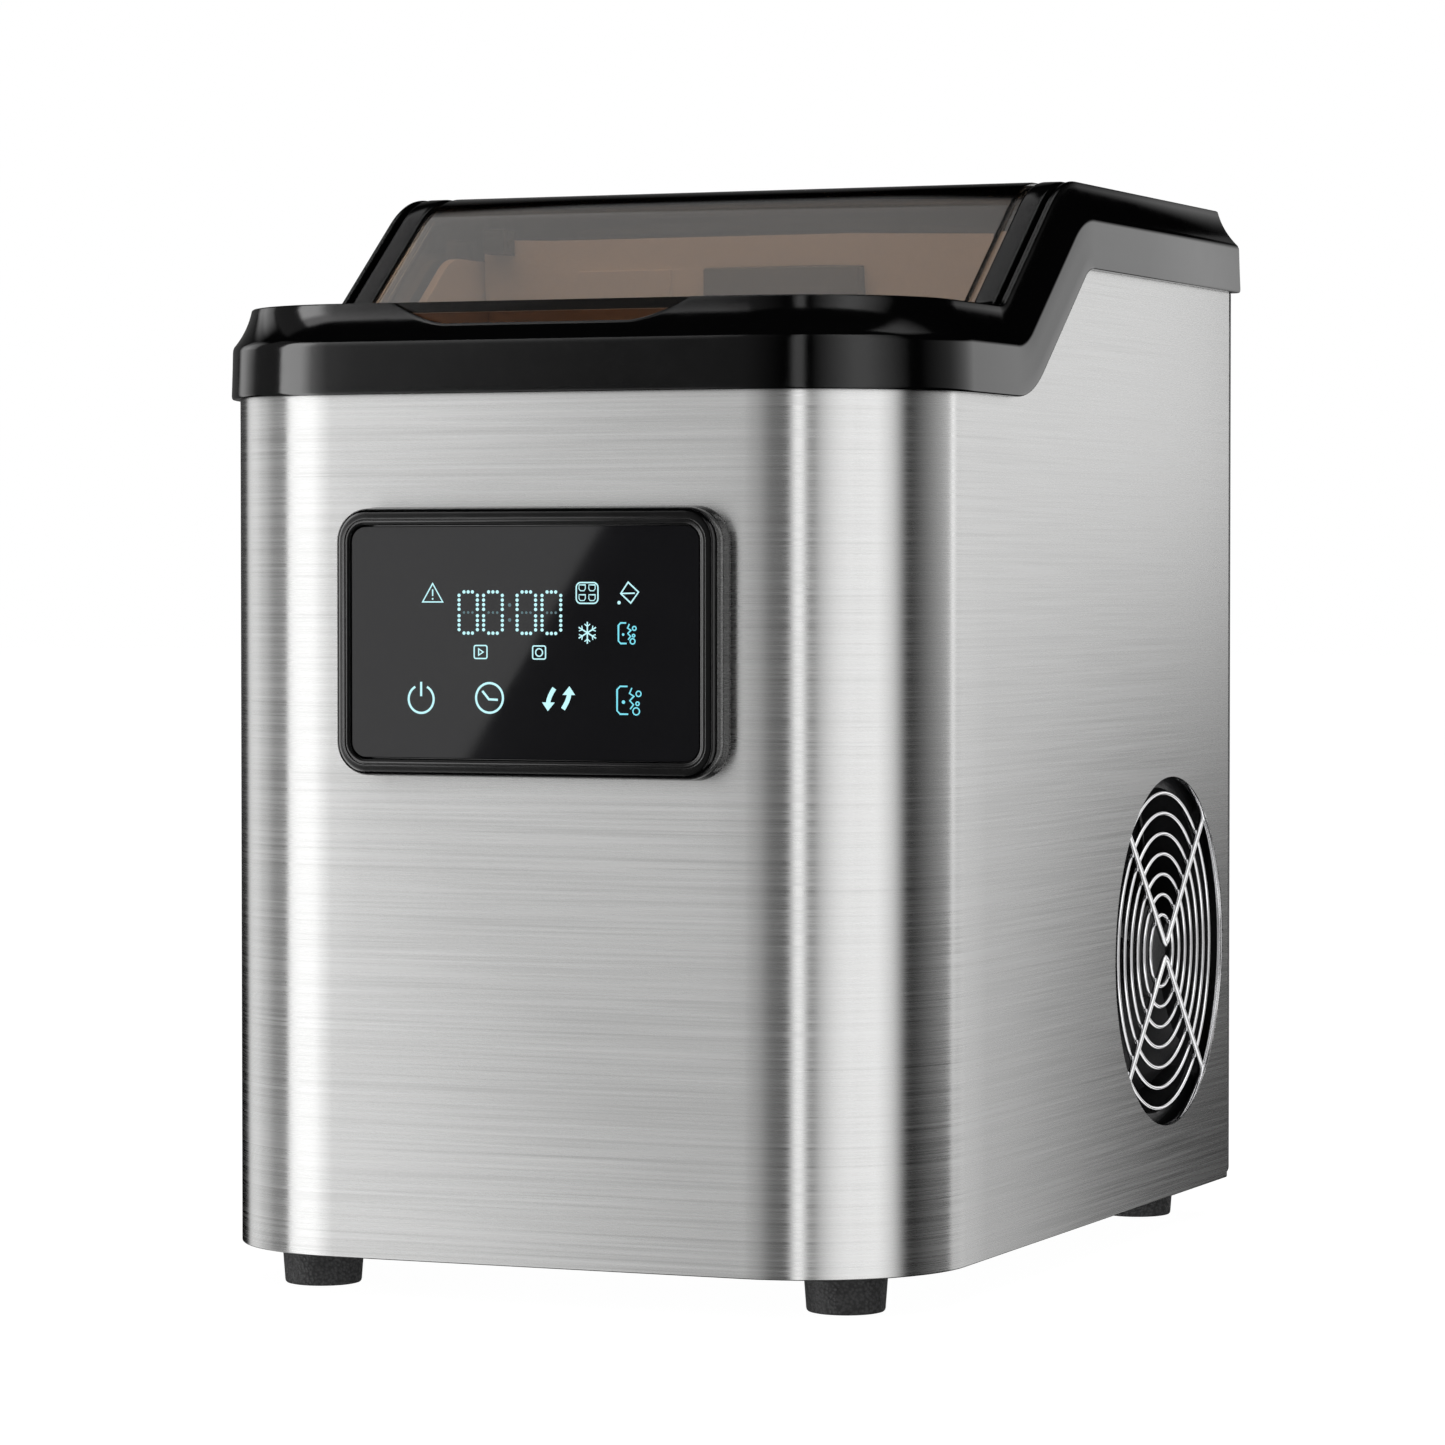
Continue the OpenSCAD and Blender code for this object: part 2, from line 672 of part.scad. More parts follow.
module discharge_line() {
    color([0.72, 0.42, 0.26]) swept_tube(curved(discharge_route, 9), 2.4);
}

module inlet_line() {
    color([0.72, 0.42, 0.26]) swept_tube(curved(inlet_route, 9), 2);
}

// ---- Liner ----

module liner_cross(t) {
    polygon(concat([[0, liner_floor + t], [liner_step_y - t, liner_floor + t],
        [liner_step_y - t, liner_shelf + t], [liner_back - t, liner_shelf + t]],
        reversed(step_line(liner_top + (t > 0 ? 9 : 0), 0, liner_back - t))));
}

module inner_liner() {
    wall = liner_in + liner_t;
    color([0.82, 0.81, 0.79]) difference() {
        union() {
            difference() {
                intersection() {
                    plan_slab(liner_in, liner_back, 0, far);
                    across(body_w) liner_cross(0);
                }
                intersection() {
                    plan_slab(wall, liner_back - liner_t, 0, far);
                    across(body_w) liner_cross(liner_t);
                }
            }
            for (s = [-1, 1]) box([s * 91 - 2.4, 45, 222], [s * 91 + 2.4, 150, 226]);
        }
        for (s = [-1, 1]) {
            translate([s * liner_half, tray_y, tray_pivot_z]) rotate([0, 90, 0])
                cylinder(h = 12, r = shaft_r + running, center = true);
        }
        for (y = [row_front_y, row_back_y]) rod([liner_half - 6, y, manifold_z], 12, 4, "x");
        rod([pump_x, pump_y, liner_floor - 2], 8, 9, "z");
        rod([-60, 120, liner_floor - 2], 8, 4.4, "z");
        rod([-86, 172.5, liner_shelf - 2], 8, 4.2, "z");
    }
}

module liner_foam() {
    out = 3.8;
    color([0.93, 0.9, 0.78]) difference() {
        intersection() {
            plan_slab(out, 160, 0, far);
            across(body_w) polygon(concat([[0, 108]], step_line(-10, 0, 160), [[160, 108]]));
        }
        plan_slab(liner_in - 0.3, 170, 0, far);
        facing(0, 13.5) translate([0, panel_z]) square([panel_w - 6, panel_h - 6], center = true);
        box([5, 0, 100], [15, liner_in, 145]);
    }
}

module splash_guard() {
    y = 168;
    color([0.85, 0.83, 0.8]) difference() {
        union() {
            box([-92, y, 236], [92, y + 2, guard_top]);
            box([-92, y, 236], [92, y + 6, 238]);
            for (s = [-1, 1]) box([s * 91 - 1, y, 236], [s * 91 + 1, y + 12, guard_top]);
            box([-61, y - 1.2, 240], [-30, y + 1, sensor_top]);
        }
        box([sensor_left - 0.3, y - 2, sensor_top - 24.3], [sensor_left + 50.5, y + 3, sensor_top + 0.3]);
    }
}

module sensor_housing() {
    color([0.33, 0.32, 0.31]) difference() {
        box([sensor_left, 164, sensor_top - 24], [sensor_left + 50.2, 176, sensor_top]);
        box([sensor_left + 2, 166, sensor_top - 22], [sensor_left + 48.2, 177, sensor_top - 2]);
    }
}

module ice_full_sensors() {
    color([0.08, 0.08, 0.09]) for (s = [-1, 1]) {
        box([s * 85.5 - 3.3, 160, 290.4], [s * 85.5 + 3.3, 168, 298]);
        rod([s * 82 - 0.6, 163.5, 293.6], 1.2, 1.8, "x");
    }
}

// ---- Ice making ----

module finger(x, y) {
    rod([x, y, manifold_z - 2 - finger_len + finger_r], finger_len - finger_r, finger_r, "z");
    translate([x, y, manifold_z - 2 - finger_len + finger_r]) sphere(finger_r);
}

module evaporator() {
    row_half = 72;
    middle = (row_front_y + row_back_y) / 2;
    bend = (row_back_y - row_front_y) / 2;
    color([0.83, 0.83, 0.82]) union() {
        for (k = [0:finger_count - 1]) finger((k - (finger_count - 1) / 2) * finger_pitch, row_front_y);
        for (k = [0:finger_count - 2]) finger((k - (finger_count - 2) / 2) * finger_pitch, row_back_y);
        for (y = [row_front_y, row_back_y]) rod([-row_half, y, manifold_z], row_half + 76, manifold_r, "x");
        translate([-row_half, middle, manifold_z]) rotate(90) rotate_extrude(angle = 180)
            translate([bend, 0]) circle(manifold_r);
    }
}

module evaporator_bracket() {
    z = manifold_z + manifold_r + 0.2;
    color([0.7, 0.7, 0.7]) difference() {
        union() {
            box([-92, 182, z], [92, 217, z + 2]);
            for (s = [-1, 1]) box([s * 91 - 1, 182, z - 14], [s * 91 + 1, 206, z + 2]);
        }
        for (x = [-60:30:60]) rod([x, 200, z - 1], 4, 4, "z");
        rod([88, row_front_y, manifold_z], 6, 2.8, "x");
    }
}

module water_tray() {
    y0 = tray_y - tray_depth;
    z0 = tray_pivot_z - tray_h;
    color([0.85, 0.86, 0.87]) difference() {
        union() {
            box([-tray_half, y0, z0], [tray_half, tray_y, tray_pivot_z]);
            translate([0, tray_y, tray_pivot_z]) rotate([0, 90, 0])
                cylinder(h = 2 * tray_half, r = 6, center = true);
        }
        box([tray_wall - tray_half, y0 + tray_wall, z0 + tray_wall],
            [tray_half - tray_wall, tray_y - tray_wall, far]);
        box([tray_wall - tray_half, y0, tray_pivot_z], [tray_half - tray_wall, far, far]);
        box([tray_wall - tray_half, tray_y - 0.01, z0], [tray_half - tray_wall, far, far]);
        translate([0, tray_y, tray_pivot_z]) rotate([0, 90, 0])
            cylinder(h = 3 * tray_half, r = shaft_r, center = true);
    }
}

module tray_shafts() {
    color([0.6, 0.6, 0.62]) for (s = [-1, 1])
        translate([s * (tray_half + 8.2), tray_y, tray_pivot_z]) rotate([0, 90, 0])
            cylinder(h = 20, r = shaft_r, center = true);
}

module tray_motor() {
    x = liner_half + 0.3;
    color([0.75, 0.75, 0.72]) difference() {
        union() {
            rod([x, tray_y, tray_pivot_z - 10], 12.4, 20, "x");
            box([x, tray_y - 28, tray_pivot_z - 14], [x + 2, tray_y + 28, tray_pivot_z - 6]);
        }
        rod([x - 1, tray_y, tray_pivot_z], 8, shaft_r + running, "x");
    }
}

module ice_pusher() {
    half = 76;
    color([0.9, 0.9, 0.9]) union() {
        translate([0, pusher_y, pusher_z]) rotate([0, 90, 0])
            cylinder(h = 2 * half + 8, r = 2.45, center = true);
        box([-half, pusher_y - 1, pusher_z - 8], [half, pusher_y + 1, pusher_z]);
        for (k = [0:finger_count - 1]) let (x = (k - (finger_count - 1) / 2) * finger_pitch)
            box([x - 5, pusher_y - 1, pusher_z - 32], [x + 5, pusher_y + 1, pusher_z - 7]);
    }
}

module pusher_brackets() {
    color([0.8, 0.8, 0.78]) for (s = [-1, 1]) difference() {
        box([s * 84.7 - 7.6, pusher_y - 4.5, pusher_z - 4.5], [s * 84.7 + 7.6, pusher_y + 6, pusher_z + 9]);
        rod([s * 77 - (s > 0 ? 1 : 4), pusher_y, pusher_z], 5, 2.5, "x");
    }
}

module ice_basket() {
    color([0.88, 0.89, 0.9]) difference() {
        union() {
            plan_slab(basket_in, basket_back, basket_floor, basket_top);
            for (s = [-1, 1]) box([s * 87.5 - 3.2, 52, basket_top - 3.6], [s * 87.5 + 3.2, 144, basket_top - 1.4]);
        }
        plan_slab(basket_in + 2, basket_back - 2, basket_floor + 2, far);
        for (x = [-48:24:48], y = [60:28:116]) box([x - 3, y - 9, basket_floor - 1], [x + 3, y + 9, far]);
        for (s = [-1, 1], y = [62:20:132])
            box([s * 86 - 3, y - 4, basket_floor + 14], [s * 86 + 3, y + 4, basket_top - 18]);
        for (x = [-45:22.5:45]) box([x - 4, basket_in - 3, basket_floor + 14],
            [x + 4, basket_in + 4, basket_top - 30]);
        box([-26, basket_back - 5, basket_top - 16], [26, basket_back + 1, basket_top - 7]);
    }
}

module ice_scoop() {
    translate([0, 88, basket_floor + 2.2]) color([0.8, 0.87, 0.9, 0.7]) union() {
        difference() {
            translate([0, 0, 12]) rotate([0, 90, 0]) cylinder(h = 66, r = 24, center = true, $fn = 64);
            translate([2, 0, 12]) rotate([0, 90, 0]) cylinder(h = 66, r = 22.2, center = true, $fn = 64);
            box([-40, -30, 12], [40, 30, 60]);
            box([-40, -30, -30], [40, 30, -0.01]);
        }
        difference() {
            box([-33, -20.2, 0], [33, 20.2, 1.8]);
            box([-40, -30, 3], [40, 30, 9]);
        }
        difference() {
            box([-78, -8, 6], [-31.8, 8, 11.5]);
            box([-72, -4, 5], [-46, 4, 13]);
        }
    }
}

// ---- Water ----

module pump_housing() {
    color([0.2, 0.21, 0.22]) translate([pump_x, pump_y, 0]) difference() {
        union() {
            translate([0, 0, 55]) cylinder(h = 17, r = 20);
            translate([0, 0, 71]) cylinder(h = 6, r = 8.8);
            translate([0, 12, 60]) rotate([-90, 0, 0]) cylinder(h = 22, r = 4.5);
        }
        translate([0, 0, 57]) cylinder(h = 13, r = 17.5);
        translate([0, 0, 65]) cylinder(h = 20, r = 6);
        translate([0, 10, 60]) rotate([-90, 0, 0]) cylinder(h = 30, r = 2.8);
        translate([0, 0, 50]) cylinder(h = 10, r = 2.2);
    }
}

module pump_motor() {
    color([0.12, 0.12, 0.13]) translate([pump_x, pump_y, 25]) difference() {
        union() {
            cylinder(h = 29.8, r = 16);
            translate([0, 0, 10]) cylinder(h = 4, r = 19);
        }
        translate([0, 0, 24]) cylinder(h = 8, r = 2.2);
    }
}

module pump_impeller() {
    color([0.9, 0.9, 0.88]) translate([pump_x, pump_y, 58]) union() {
        cylinder(h = 2, r = 16);
        cylinder(h = 9, r = 4);
        translate([0, 0, -8]) cylinder(h = 9, r = 2.15);
        for (k = [0:5]) rotate(60 * k) translate([3, -0.8, 1]) cube([12, 1.6, 7]);
    }
}

module pump_filter() {
    color([0.35, 0.36, 0.38]) translate([pump_x, pump_y, liner_floor + liner_t]) difference() {
        cylinder(h = 9, r = 15);
        translate([0, 0, -1]) cylinder(h = 8.4, r = 13.4);
        for (a = [0:30:330]) rotate(a) translate([12, -1, 2]) cube([5, 2, 4]);
        for (x = [-8:4:8]) translate([x - 0.8, -8, 7]) cube([1.6, 16, 6]);
    }
}

tube_route = [[pump_x, pump_y + 34.3, 60], [pump_x, 118, 60], [-78, 158, 58], [-86, 172.5, 74],
    [-86, 172.5, 205], [-86, 178, 224], [-86, 178.2, 242], [-83, 179, 254.8], [-70, 179.6, 254.8]];

module water_tube() {
    color([0.9, 0.92, 0.93]) swept_tube(curved(tube_route, 9), 3.2);
}

hose_route = [[-60, 120, 74.5], [-60, 120, 58], [-88, 146, 40], [-103.4, 172, 32], [-103.4, 266, 32],
    [-100, 283, 32], [-85.3, 283, 32]];

module drain_hose() {
    color([0.86, 0.88, 0.88]) swept_tube(curved(hose_route, 10), 4);
}

module water_level_probe() {
    color([0.3, 0.3, 0.32]) union() {
        box([60, 156.2, 92], [76, 162.3, 112]);
        rod([68, 158, 84], 9, 1.6, "z");
        rod([73, 158, 84], 9, 1.6, "z");
    }
}

module drain_spout() {
    color([0.16, 0.16, 0.17]) translate([-70, 0, 32]) difference() {
        union() {
            rod([0, 277, 0], body_d - 277, 9, "y");
            rod([0, body_d - 5.2, 0], 2.4, 12, "y");
            rod([-15, 283, 0], 12, 4.2, "x");
        }
        rod([0, 280, 0], 60, 6 + running, "y");
        rod([-16, 283, 0], 13, 2.6, "x");
    }
}

module drain_plug() {
    color([0.1, 0.1, 0.1]) translate([-70, 0, 32]) union() {
        rod([0, 287, 0], body_d - 287 + 0.2, 6, "y");
        rod([0, body_d + 0.15, 0], 2.2, 8.6, "y");
    }
}

// ---- Electrics ----

board_posts = [for (x = [26, 84], y = [44, 118]) [x, y]];

module power_board() {
    color([0.14, 0.32, 0.2]) difference() {
        union() {
            box([22, 40, 12.1], [88, 122, 13.7]);
            box([30, 52, 13.6], [56, 76, 38]);
            for (x = [66, 78]) rod([x, 60, 13.6], 20, 5, "z");
            box([62, 84, 13.6], [80, 98, 30]);
            box([30, 96, 13.6], [50, 112, 24]);
        }
        for (p = board_posts) rod([p[0], p[1], 10], 6, 1.5, "z");
    }
}

module cord_gland() {
    color([0.08, 0.08, 0.08]) translate([75, 0, 40]) difference() {
        union() {
            rod([0, body_d - 8, 0], 8.5, 8, "y");
            rod([0, body_d, 0], 2, 10, "y");
            rod([0, body_d - 8, 0], 3.6, 10, "y");
        }
        rod([0, body_d - 20, 0], 30, 3.6, "y");
    }
}

loom_route = [[10, 11.5, 157], [10, 11.5, 62], [20, 32, 46], [40, 82, 42], [40, 104, 36], [40, 104, 24.5]];

module wire_loom() {
    color([0.75, 0.75, 0.72]) swept_tube(curved(loom_route, 8), 2);
}

placed() outer_wrap();
placed() rear_panel();
placed() base_pan();
placed() foot(foot_spots[0]);  // foot_front_left
placed() foot(foot_spots[1]);  // foot_front_right
placed() foot(foot_spots[2]);  // foot_rear_left
placed() foot(foot_spots[3]);  // foot_rear_right
placed() foot_screws();
placed() top_collar();
placed() rear_cover();
placed() hinge_blocks();
placed() lid_window();
placed() lid_rail(-1);  // lid_rail_left
placed() lid_rail(1);  // lid_rail_right
placed() lid_hinge_bar();
placed() lid_bumpers();
placed() panel_bezel();
placed() panel_glass();
placed() control_board();
placed() fan_guard();
placed() fan_shroud();
placed() fan_blade();
placed() fan_motor();
placed() condenser_fins();
placed() condenser_tubes();
placed() compressor();
placed() compressor_grommets();
placed() filter_drier();
placed() hot_gas_valve();
placed() suction_line();
placed() discharge_line();
placed() inlet_line();
placed() inner_liner();
placed() liner_foam();
placed() splash_guard();
placed() sensor_housing();
placed() ice_full_sensors();
placed() evaporator();
placed() evaporator_bracket();
placed() water_tray();
placed() tray_shafts();
placed() tray_motor();
placed() ice_pusher();
placed() pusher_brackets();
placed() ice_basket();
placed() ice_scoop();
placed() pump_housing();
placed() pump_motor();
placed() pump_impeller();
placed() pump_filter();
placed() water_tube();
placed() water_level_probe();
placed() drain_spout();
placed() drain_plug();
placed() drain_hose();
placed() power_board();
placed() cord_gland();
placed() rear_screws();
placed() wire_loom();
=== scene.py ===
"""Looks of the countertop ice maker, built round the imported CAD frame.

Shapes are drawn in millimetres from the steel cabinet: X from its middle plane, Y back from its front
face and Z up from its bottom edge. at() turns such a point into the row frame, in metres.
"""
import json
import math

import bmesh
import bpy
from mathutils import Matrix, Vector


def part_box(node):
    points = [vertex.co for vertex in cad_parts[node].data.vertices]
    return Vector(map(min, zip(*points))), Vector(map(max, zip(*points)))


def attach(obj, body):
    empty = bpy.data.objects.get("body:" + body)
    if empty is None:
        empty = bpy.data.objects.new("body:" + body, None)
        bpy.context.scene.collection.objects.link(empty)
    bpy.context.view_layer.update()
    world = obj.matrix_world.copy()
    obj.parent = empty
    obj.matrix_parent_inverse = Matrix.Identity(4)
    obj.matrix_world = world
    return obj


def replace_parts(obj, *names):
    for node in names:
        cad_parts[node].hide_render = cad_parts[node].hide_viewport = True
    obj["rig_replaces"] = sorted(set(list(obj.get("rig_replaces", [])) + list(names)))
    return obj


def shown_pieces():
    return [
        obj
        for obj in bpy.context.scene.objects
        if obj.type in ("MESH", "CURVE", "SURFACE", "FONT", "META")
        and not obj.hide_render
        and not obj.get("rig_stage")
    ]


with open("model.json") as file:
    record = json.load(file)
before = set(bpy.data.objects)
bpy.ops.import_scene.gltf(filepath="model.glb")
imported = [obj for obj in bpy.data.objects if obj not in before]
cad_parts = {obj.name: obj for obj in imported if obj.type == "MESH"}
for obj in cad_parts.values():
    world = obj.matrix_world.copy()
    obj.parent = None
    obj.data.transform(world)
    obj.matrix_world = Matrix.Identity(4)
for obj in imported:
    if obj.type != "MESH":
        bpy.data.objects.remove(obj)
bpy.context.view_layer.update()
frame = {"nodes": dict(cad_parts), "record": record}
MM = 0.001

# ---- Places, from the frame -------------------------------------------------------------------

steel_lo, steel_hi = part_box("outer_wrap")
HALF = steel_hi.x / MM
BODY_D = (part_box("rear_panel")[1].y - steel_lo.y) / MM
FOOT_H = steel_lo.z / MM

# The stepped line of the cabinet's top, as in the CAD
CORNER_R = 47.1
LOW_H, STEP_RISE, SLOPE = 243.0, 39.6, 38.1
HIGH_H = LOW_H + STEP_RISE
BEND_Y, LOW_BEND_R, HIGH_BEND_R = 96.6, 36.5, 13.0

# Collar and lid
COLLAR_OUT, BAND_H, RIM_H = 2.5, 14.7, 26.0
LEDGE_H, LEDGE_IN, RIM_INNER = 15.5, 13.5, 5.0
COVE_R, COVE_START, COVE_FOOT = 24.0, 50.0, (1.8, 15.05)
RECESS_HALF, RECESS_RUN, RECESS_DEPTH = 28.0, 17.5, 6.2
LID_EDGE = RIM_INNER + 0.3
WINDOW_HALF, RAIL_IN, WINDOW_T = 94.2, 96.6, 3.0
RAIL_GAP = 1.3
HINGE_Y, HINGE_R = 232.0, 4.5
HINGE_Z = HIGH_H + RIM_H - HINGE_R

# Panel, grille and fan
PANEL_X, PANEL_Z, PANEL_W, PANEL_H, PANEL_R = 0.5, 173.9, 116.4, 75.4, 9.8
GRILLE_Y, GRILLE_Z, GRILLE_R = 232.9, 76.3, 54.0


def at(x, y, z):
    """A point in millimetres from the steel's middle, front face and bottom edge, in the row frame."""
    return Vector((x * MM, steel_lo.y + y * MM, steel_lo.z + z * MM))


def lerp(a, b, t):
    return a + (b - a) * t


def placed(name, data):
    """A new object with this data, in the scene."""
    made = bpy.data.objects.new(name, data)
    bpy.context.scene.collection.objects.link(made)
    return made


# ---- Camera -----------------------------------------------------------------------------------

CAMERA_AZIMUTH, CAMERA_DOWN = math.radians(22.6), math.radians(1.544)
camera_data = bpy.data.cameras.new("camera")
camera_data.sensor_width = 36
camera_data.lens = 134.12
camera_data.clip_start, camera_data.clip_end = 0.05, 100
camera = placed("camera", camera_data)
camera.location = (0.62162, -1.50156, 0.20341)
camera.rotation_euler = (math.pi / 2 - CAMERA_DOWN, 0, CAMERA_AZIMUTH)
bpy.context.scene.camera = camera


# ---- Materials --------------------------------------------------------------------------------

def link(tree, a, b):
    tree.links.new(a, b)


def node(tree, kind, **values):
    """A shader node, with its properties and its inputs set by name."""
    made = tree.nodes.new(kind)
    for name, value in values.items():
        if hasattr(made, name):
            setattr(made, name, value)
        else:
            made.inputs[name.replace("_", " ")].default_value = value
    return made


def stretched(tree, scale):
    """Object coordinates, times scale along each axis."""
    coords = node(tree, "ShaderNodeTexCoord")
    mapping = node(tree, "ShaderNodeMapping")
    mapping.inputs["Scale"].default_value = scale
    link(tree, coords.outputs["Object"], mapping.inputs["Vector"])
    return mapping.outputs["Vector"]


def noise(tree, scale, detail=3.0, roughness=0.55):
    texture = node(tree, "ShaderNodeTexNoise", Scale=1.0, Detail=detail, Roughness=roughness)
    link(tree, stretched(tree, scale), texture.inputs["Vector"])
    return texture.outputs["Fac"]


def ranged(tree, source, low, high, start=0.3, end=0.7):
    """source from start to end, mapped to low to high."""
    made = node(tree, "ShaderNodeMapRange")
    made.inputs["From Min"].default_value = start
    made.inputs["From Max"].default_value = end
    made.inputs["To Min"].default_value = low
    made.inputs["To Max"].default_value = high
    link(tree, source, made.inputs["Value"])
    return made.outputs["Result"]


def shades(tree, source, dark, light):
    """A colour between dark and light, by source."""
    made = node(tree, "ShaderNodeMix", data_type="RGBA")
    made.inputs["A"].default_value = (*dark, 1)
    made.inputs["B"].default_value = (*light, 1)
    link(tree, ranged(tree, source, 0, 1), made.inputs["Factor"])
    return made.outputs["Result"]


def bumped(tree, shader, source, strength, distance):
    bump = node(tree, "ShaderNodeBump", Strength=strength, Distance=distance)
    link(tree, source, bump.inputs["Height"])
    link(tree, bump.outputs["Normal"], shader.inputs["Normal"])


def material(name, colour, roughness, metallic=0.0, **sockets):
    """A Principled material, as (material, tree, shader)."""
    made = bpy.data.materials.new(name)
    made.use_nodes = True
    tree = made.node_tree
    shader = tree.nodes["Principled BSDF"]
    shader.inputs["Base Color"].default_value = (*colour, 1)
    shader.inputs["Roughness"].default_value = roughness
    shader.inputs["Metallic"].default_value = metallic
    for socket, value in sockets.items():
        shader.inputs[socket.replace("_", " ")].default_value = value
    return made, tree, shader


def plain(name, colour, roughness, spread=0.15, grain=(400, 400, 400), bump=0.0, metallic=0.0, **sockets):
    """A material whose colour and roughness vary a little with a grain, and that may be bumped by it."""
    made, tree, shader = material(name, colour, roughness, metallic, **sockets)
    source = noise(tree, grain)
    dark = tuple(c * (1 - spread) for c in colour)
    light = tuple(min(1, c * (1 + spread)) for c in colour)
    link(tree, shades(tree, source, dark, light), shader.inputs["Base Color"])
    link(tree, ranged(tree, source, roughness * 0.8, min(1, roughness * 1.2)), shader.inputs["Roughness"])
    if bump:
        bumped(tree, shader, source, bump, 0.0002)
    return made


def brushed_steel():
    """Sheet brushed along its length: fine level streaks in colour, roughness and height."""
    made, tree, shader = material("brushed_steel", (0.74, 0.74, 0.735), 0.27, 1.0, Anisotropic=0.9,
                                  Anisotropic_Rotation=0.25)
    streaks = noise(tree, (18, 18, 2600), 1.0, 0.5)
    broad = noise(tree, (8, 8, 900), 1.0, 0.5)
    both = node(tree, "ShaderNodeMath", operation="ADD")
    half = node(tree, "ShaderNodeMath", operation="MULTIPLY")
    half.inputs[1].default_value = 0.5
    link(tree, streaks, both.inputs[0])
    link(tree, broad, both.inputs[1])
    link(tree, both.outputs[0], half.inputs[0])
    link(tree, shades(tree, half.outputs[0], (0.64, 0.64, 0.635), (0.84, 0.84, 0.835)),
         shader.inputs["Base Color"])
    link(tree, ranged(tree, half.outputs[0], 0.2, 0.34), shader.inputs["Roughness"])
    bumped(tree, shader, streaks, 0.05, 0.0001)
    tangent = node(tree, "ShaderNodeTangent", direction_type="RADIAL", axis="Z")
    link(tree, tangent.outputs["Tangent"], shader.inputs["Tangent"])
    return made


def gloss_black():
    """Polished black plastic, with the faint orange peel of a moulding."""
    made, tree, shader = material("gloss_black", (0.0012, 0.0012, 0.0013), 0.1, IOR=1.65)
    source = noise(tree, (160, 160, 160), 2.0)
    link(tree, ranged(tree, source, 0.08, 0.12), shader.inputs["Roughness"])
    bumped(tree, shader, source, 0.03, 0.0002)
    return made


def clear(name, tint, roughness=0.02, ior=1.49, lamp_tint=None, coat=0.0):
    """Clear plastic. Rays from lamps pass straight through it, tinted, so that what is inside is lit."""
    made, tree, shader = material(name, tint, roughness, IOR=ior)
    shader.inputs["Transmission Weight"].default_value = 1.0
    shader.inputs["Coat Weight"].default_value = coat
    shader.inputs["Coat Roughness"].default_value = 0.1
    source = noise(tree, (90, 90, 90), 2.0)
    link(tree, ranged(tree, source, roughness * 0.6, roughness * 1.6), shader.inputs["Roughness"])
    path = node(tree, "ShaderNodeLightPath")
    through = node(tree, "ShaderNodeBsdfTransparent")
    through.inputs["Color"].default_value = (*(lamp_tint or tint), 1)
    mix = node(tree, "ShaderNodeMixShader")
    link(tree, path.outputs["Is Shadow Ray"], mix.inputs[0])
    link(tree, shader.outputs[0], mix.inputs[1])
    link(tree, through.outputs[0], mix.inputs[2])
    link(tree, mix.outputs[0], tree.nodes["Material Output"].inputs["Surface"])
    return made


def pebbled_rubber():
    """Rubber with a leather-like pebble grain, about a millimetre across."""
    made, tree, shader = material("foot_rubber", (0.03, 0.03, 0.031), 0.55)
    cells = node(tree, "ShaderNodeTexVoronoi", feature="F1", Scale=1.0)
    link(tree, stretched(tree, (1100, 1100, 1100)), cells.inputs["Vector"])
    fine = noise(tree, (2500, 2500, 2500), 4.0)
    link(tree, shades(tree, cells.outputs["Distance"], (0.042, 0.042, 0.043), (0.018, 0.018, 0.0185)),
         shader.inputs["Base Color"])
    link(tree, ranged(tree, fine, 0.45, 0.7), shader.inputs["Roughness"])
    bumped(tree, shader, cells.outputs["Distance"], 0.6, 0.0004)
    return made


def glow(name, colour, strength):
    """Print that lets the panel's light through."""
    made, _, shader = material(name, (0.02, 0.02, 0.02), 0.4)
    shader.inputs["Emission Color"].default_value = (*colour, 1)
    shader.inputs["Emission Strength"].default_value = strength
    return made


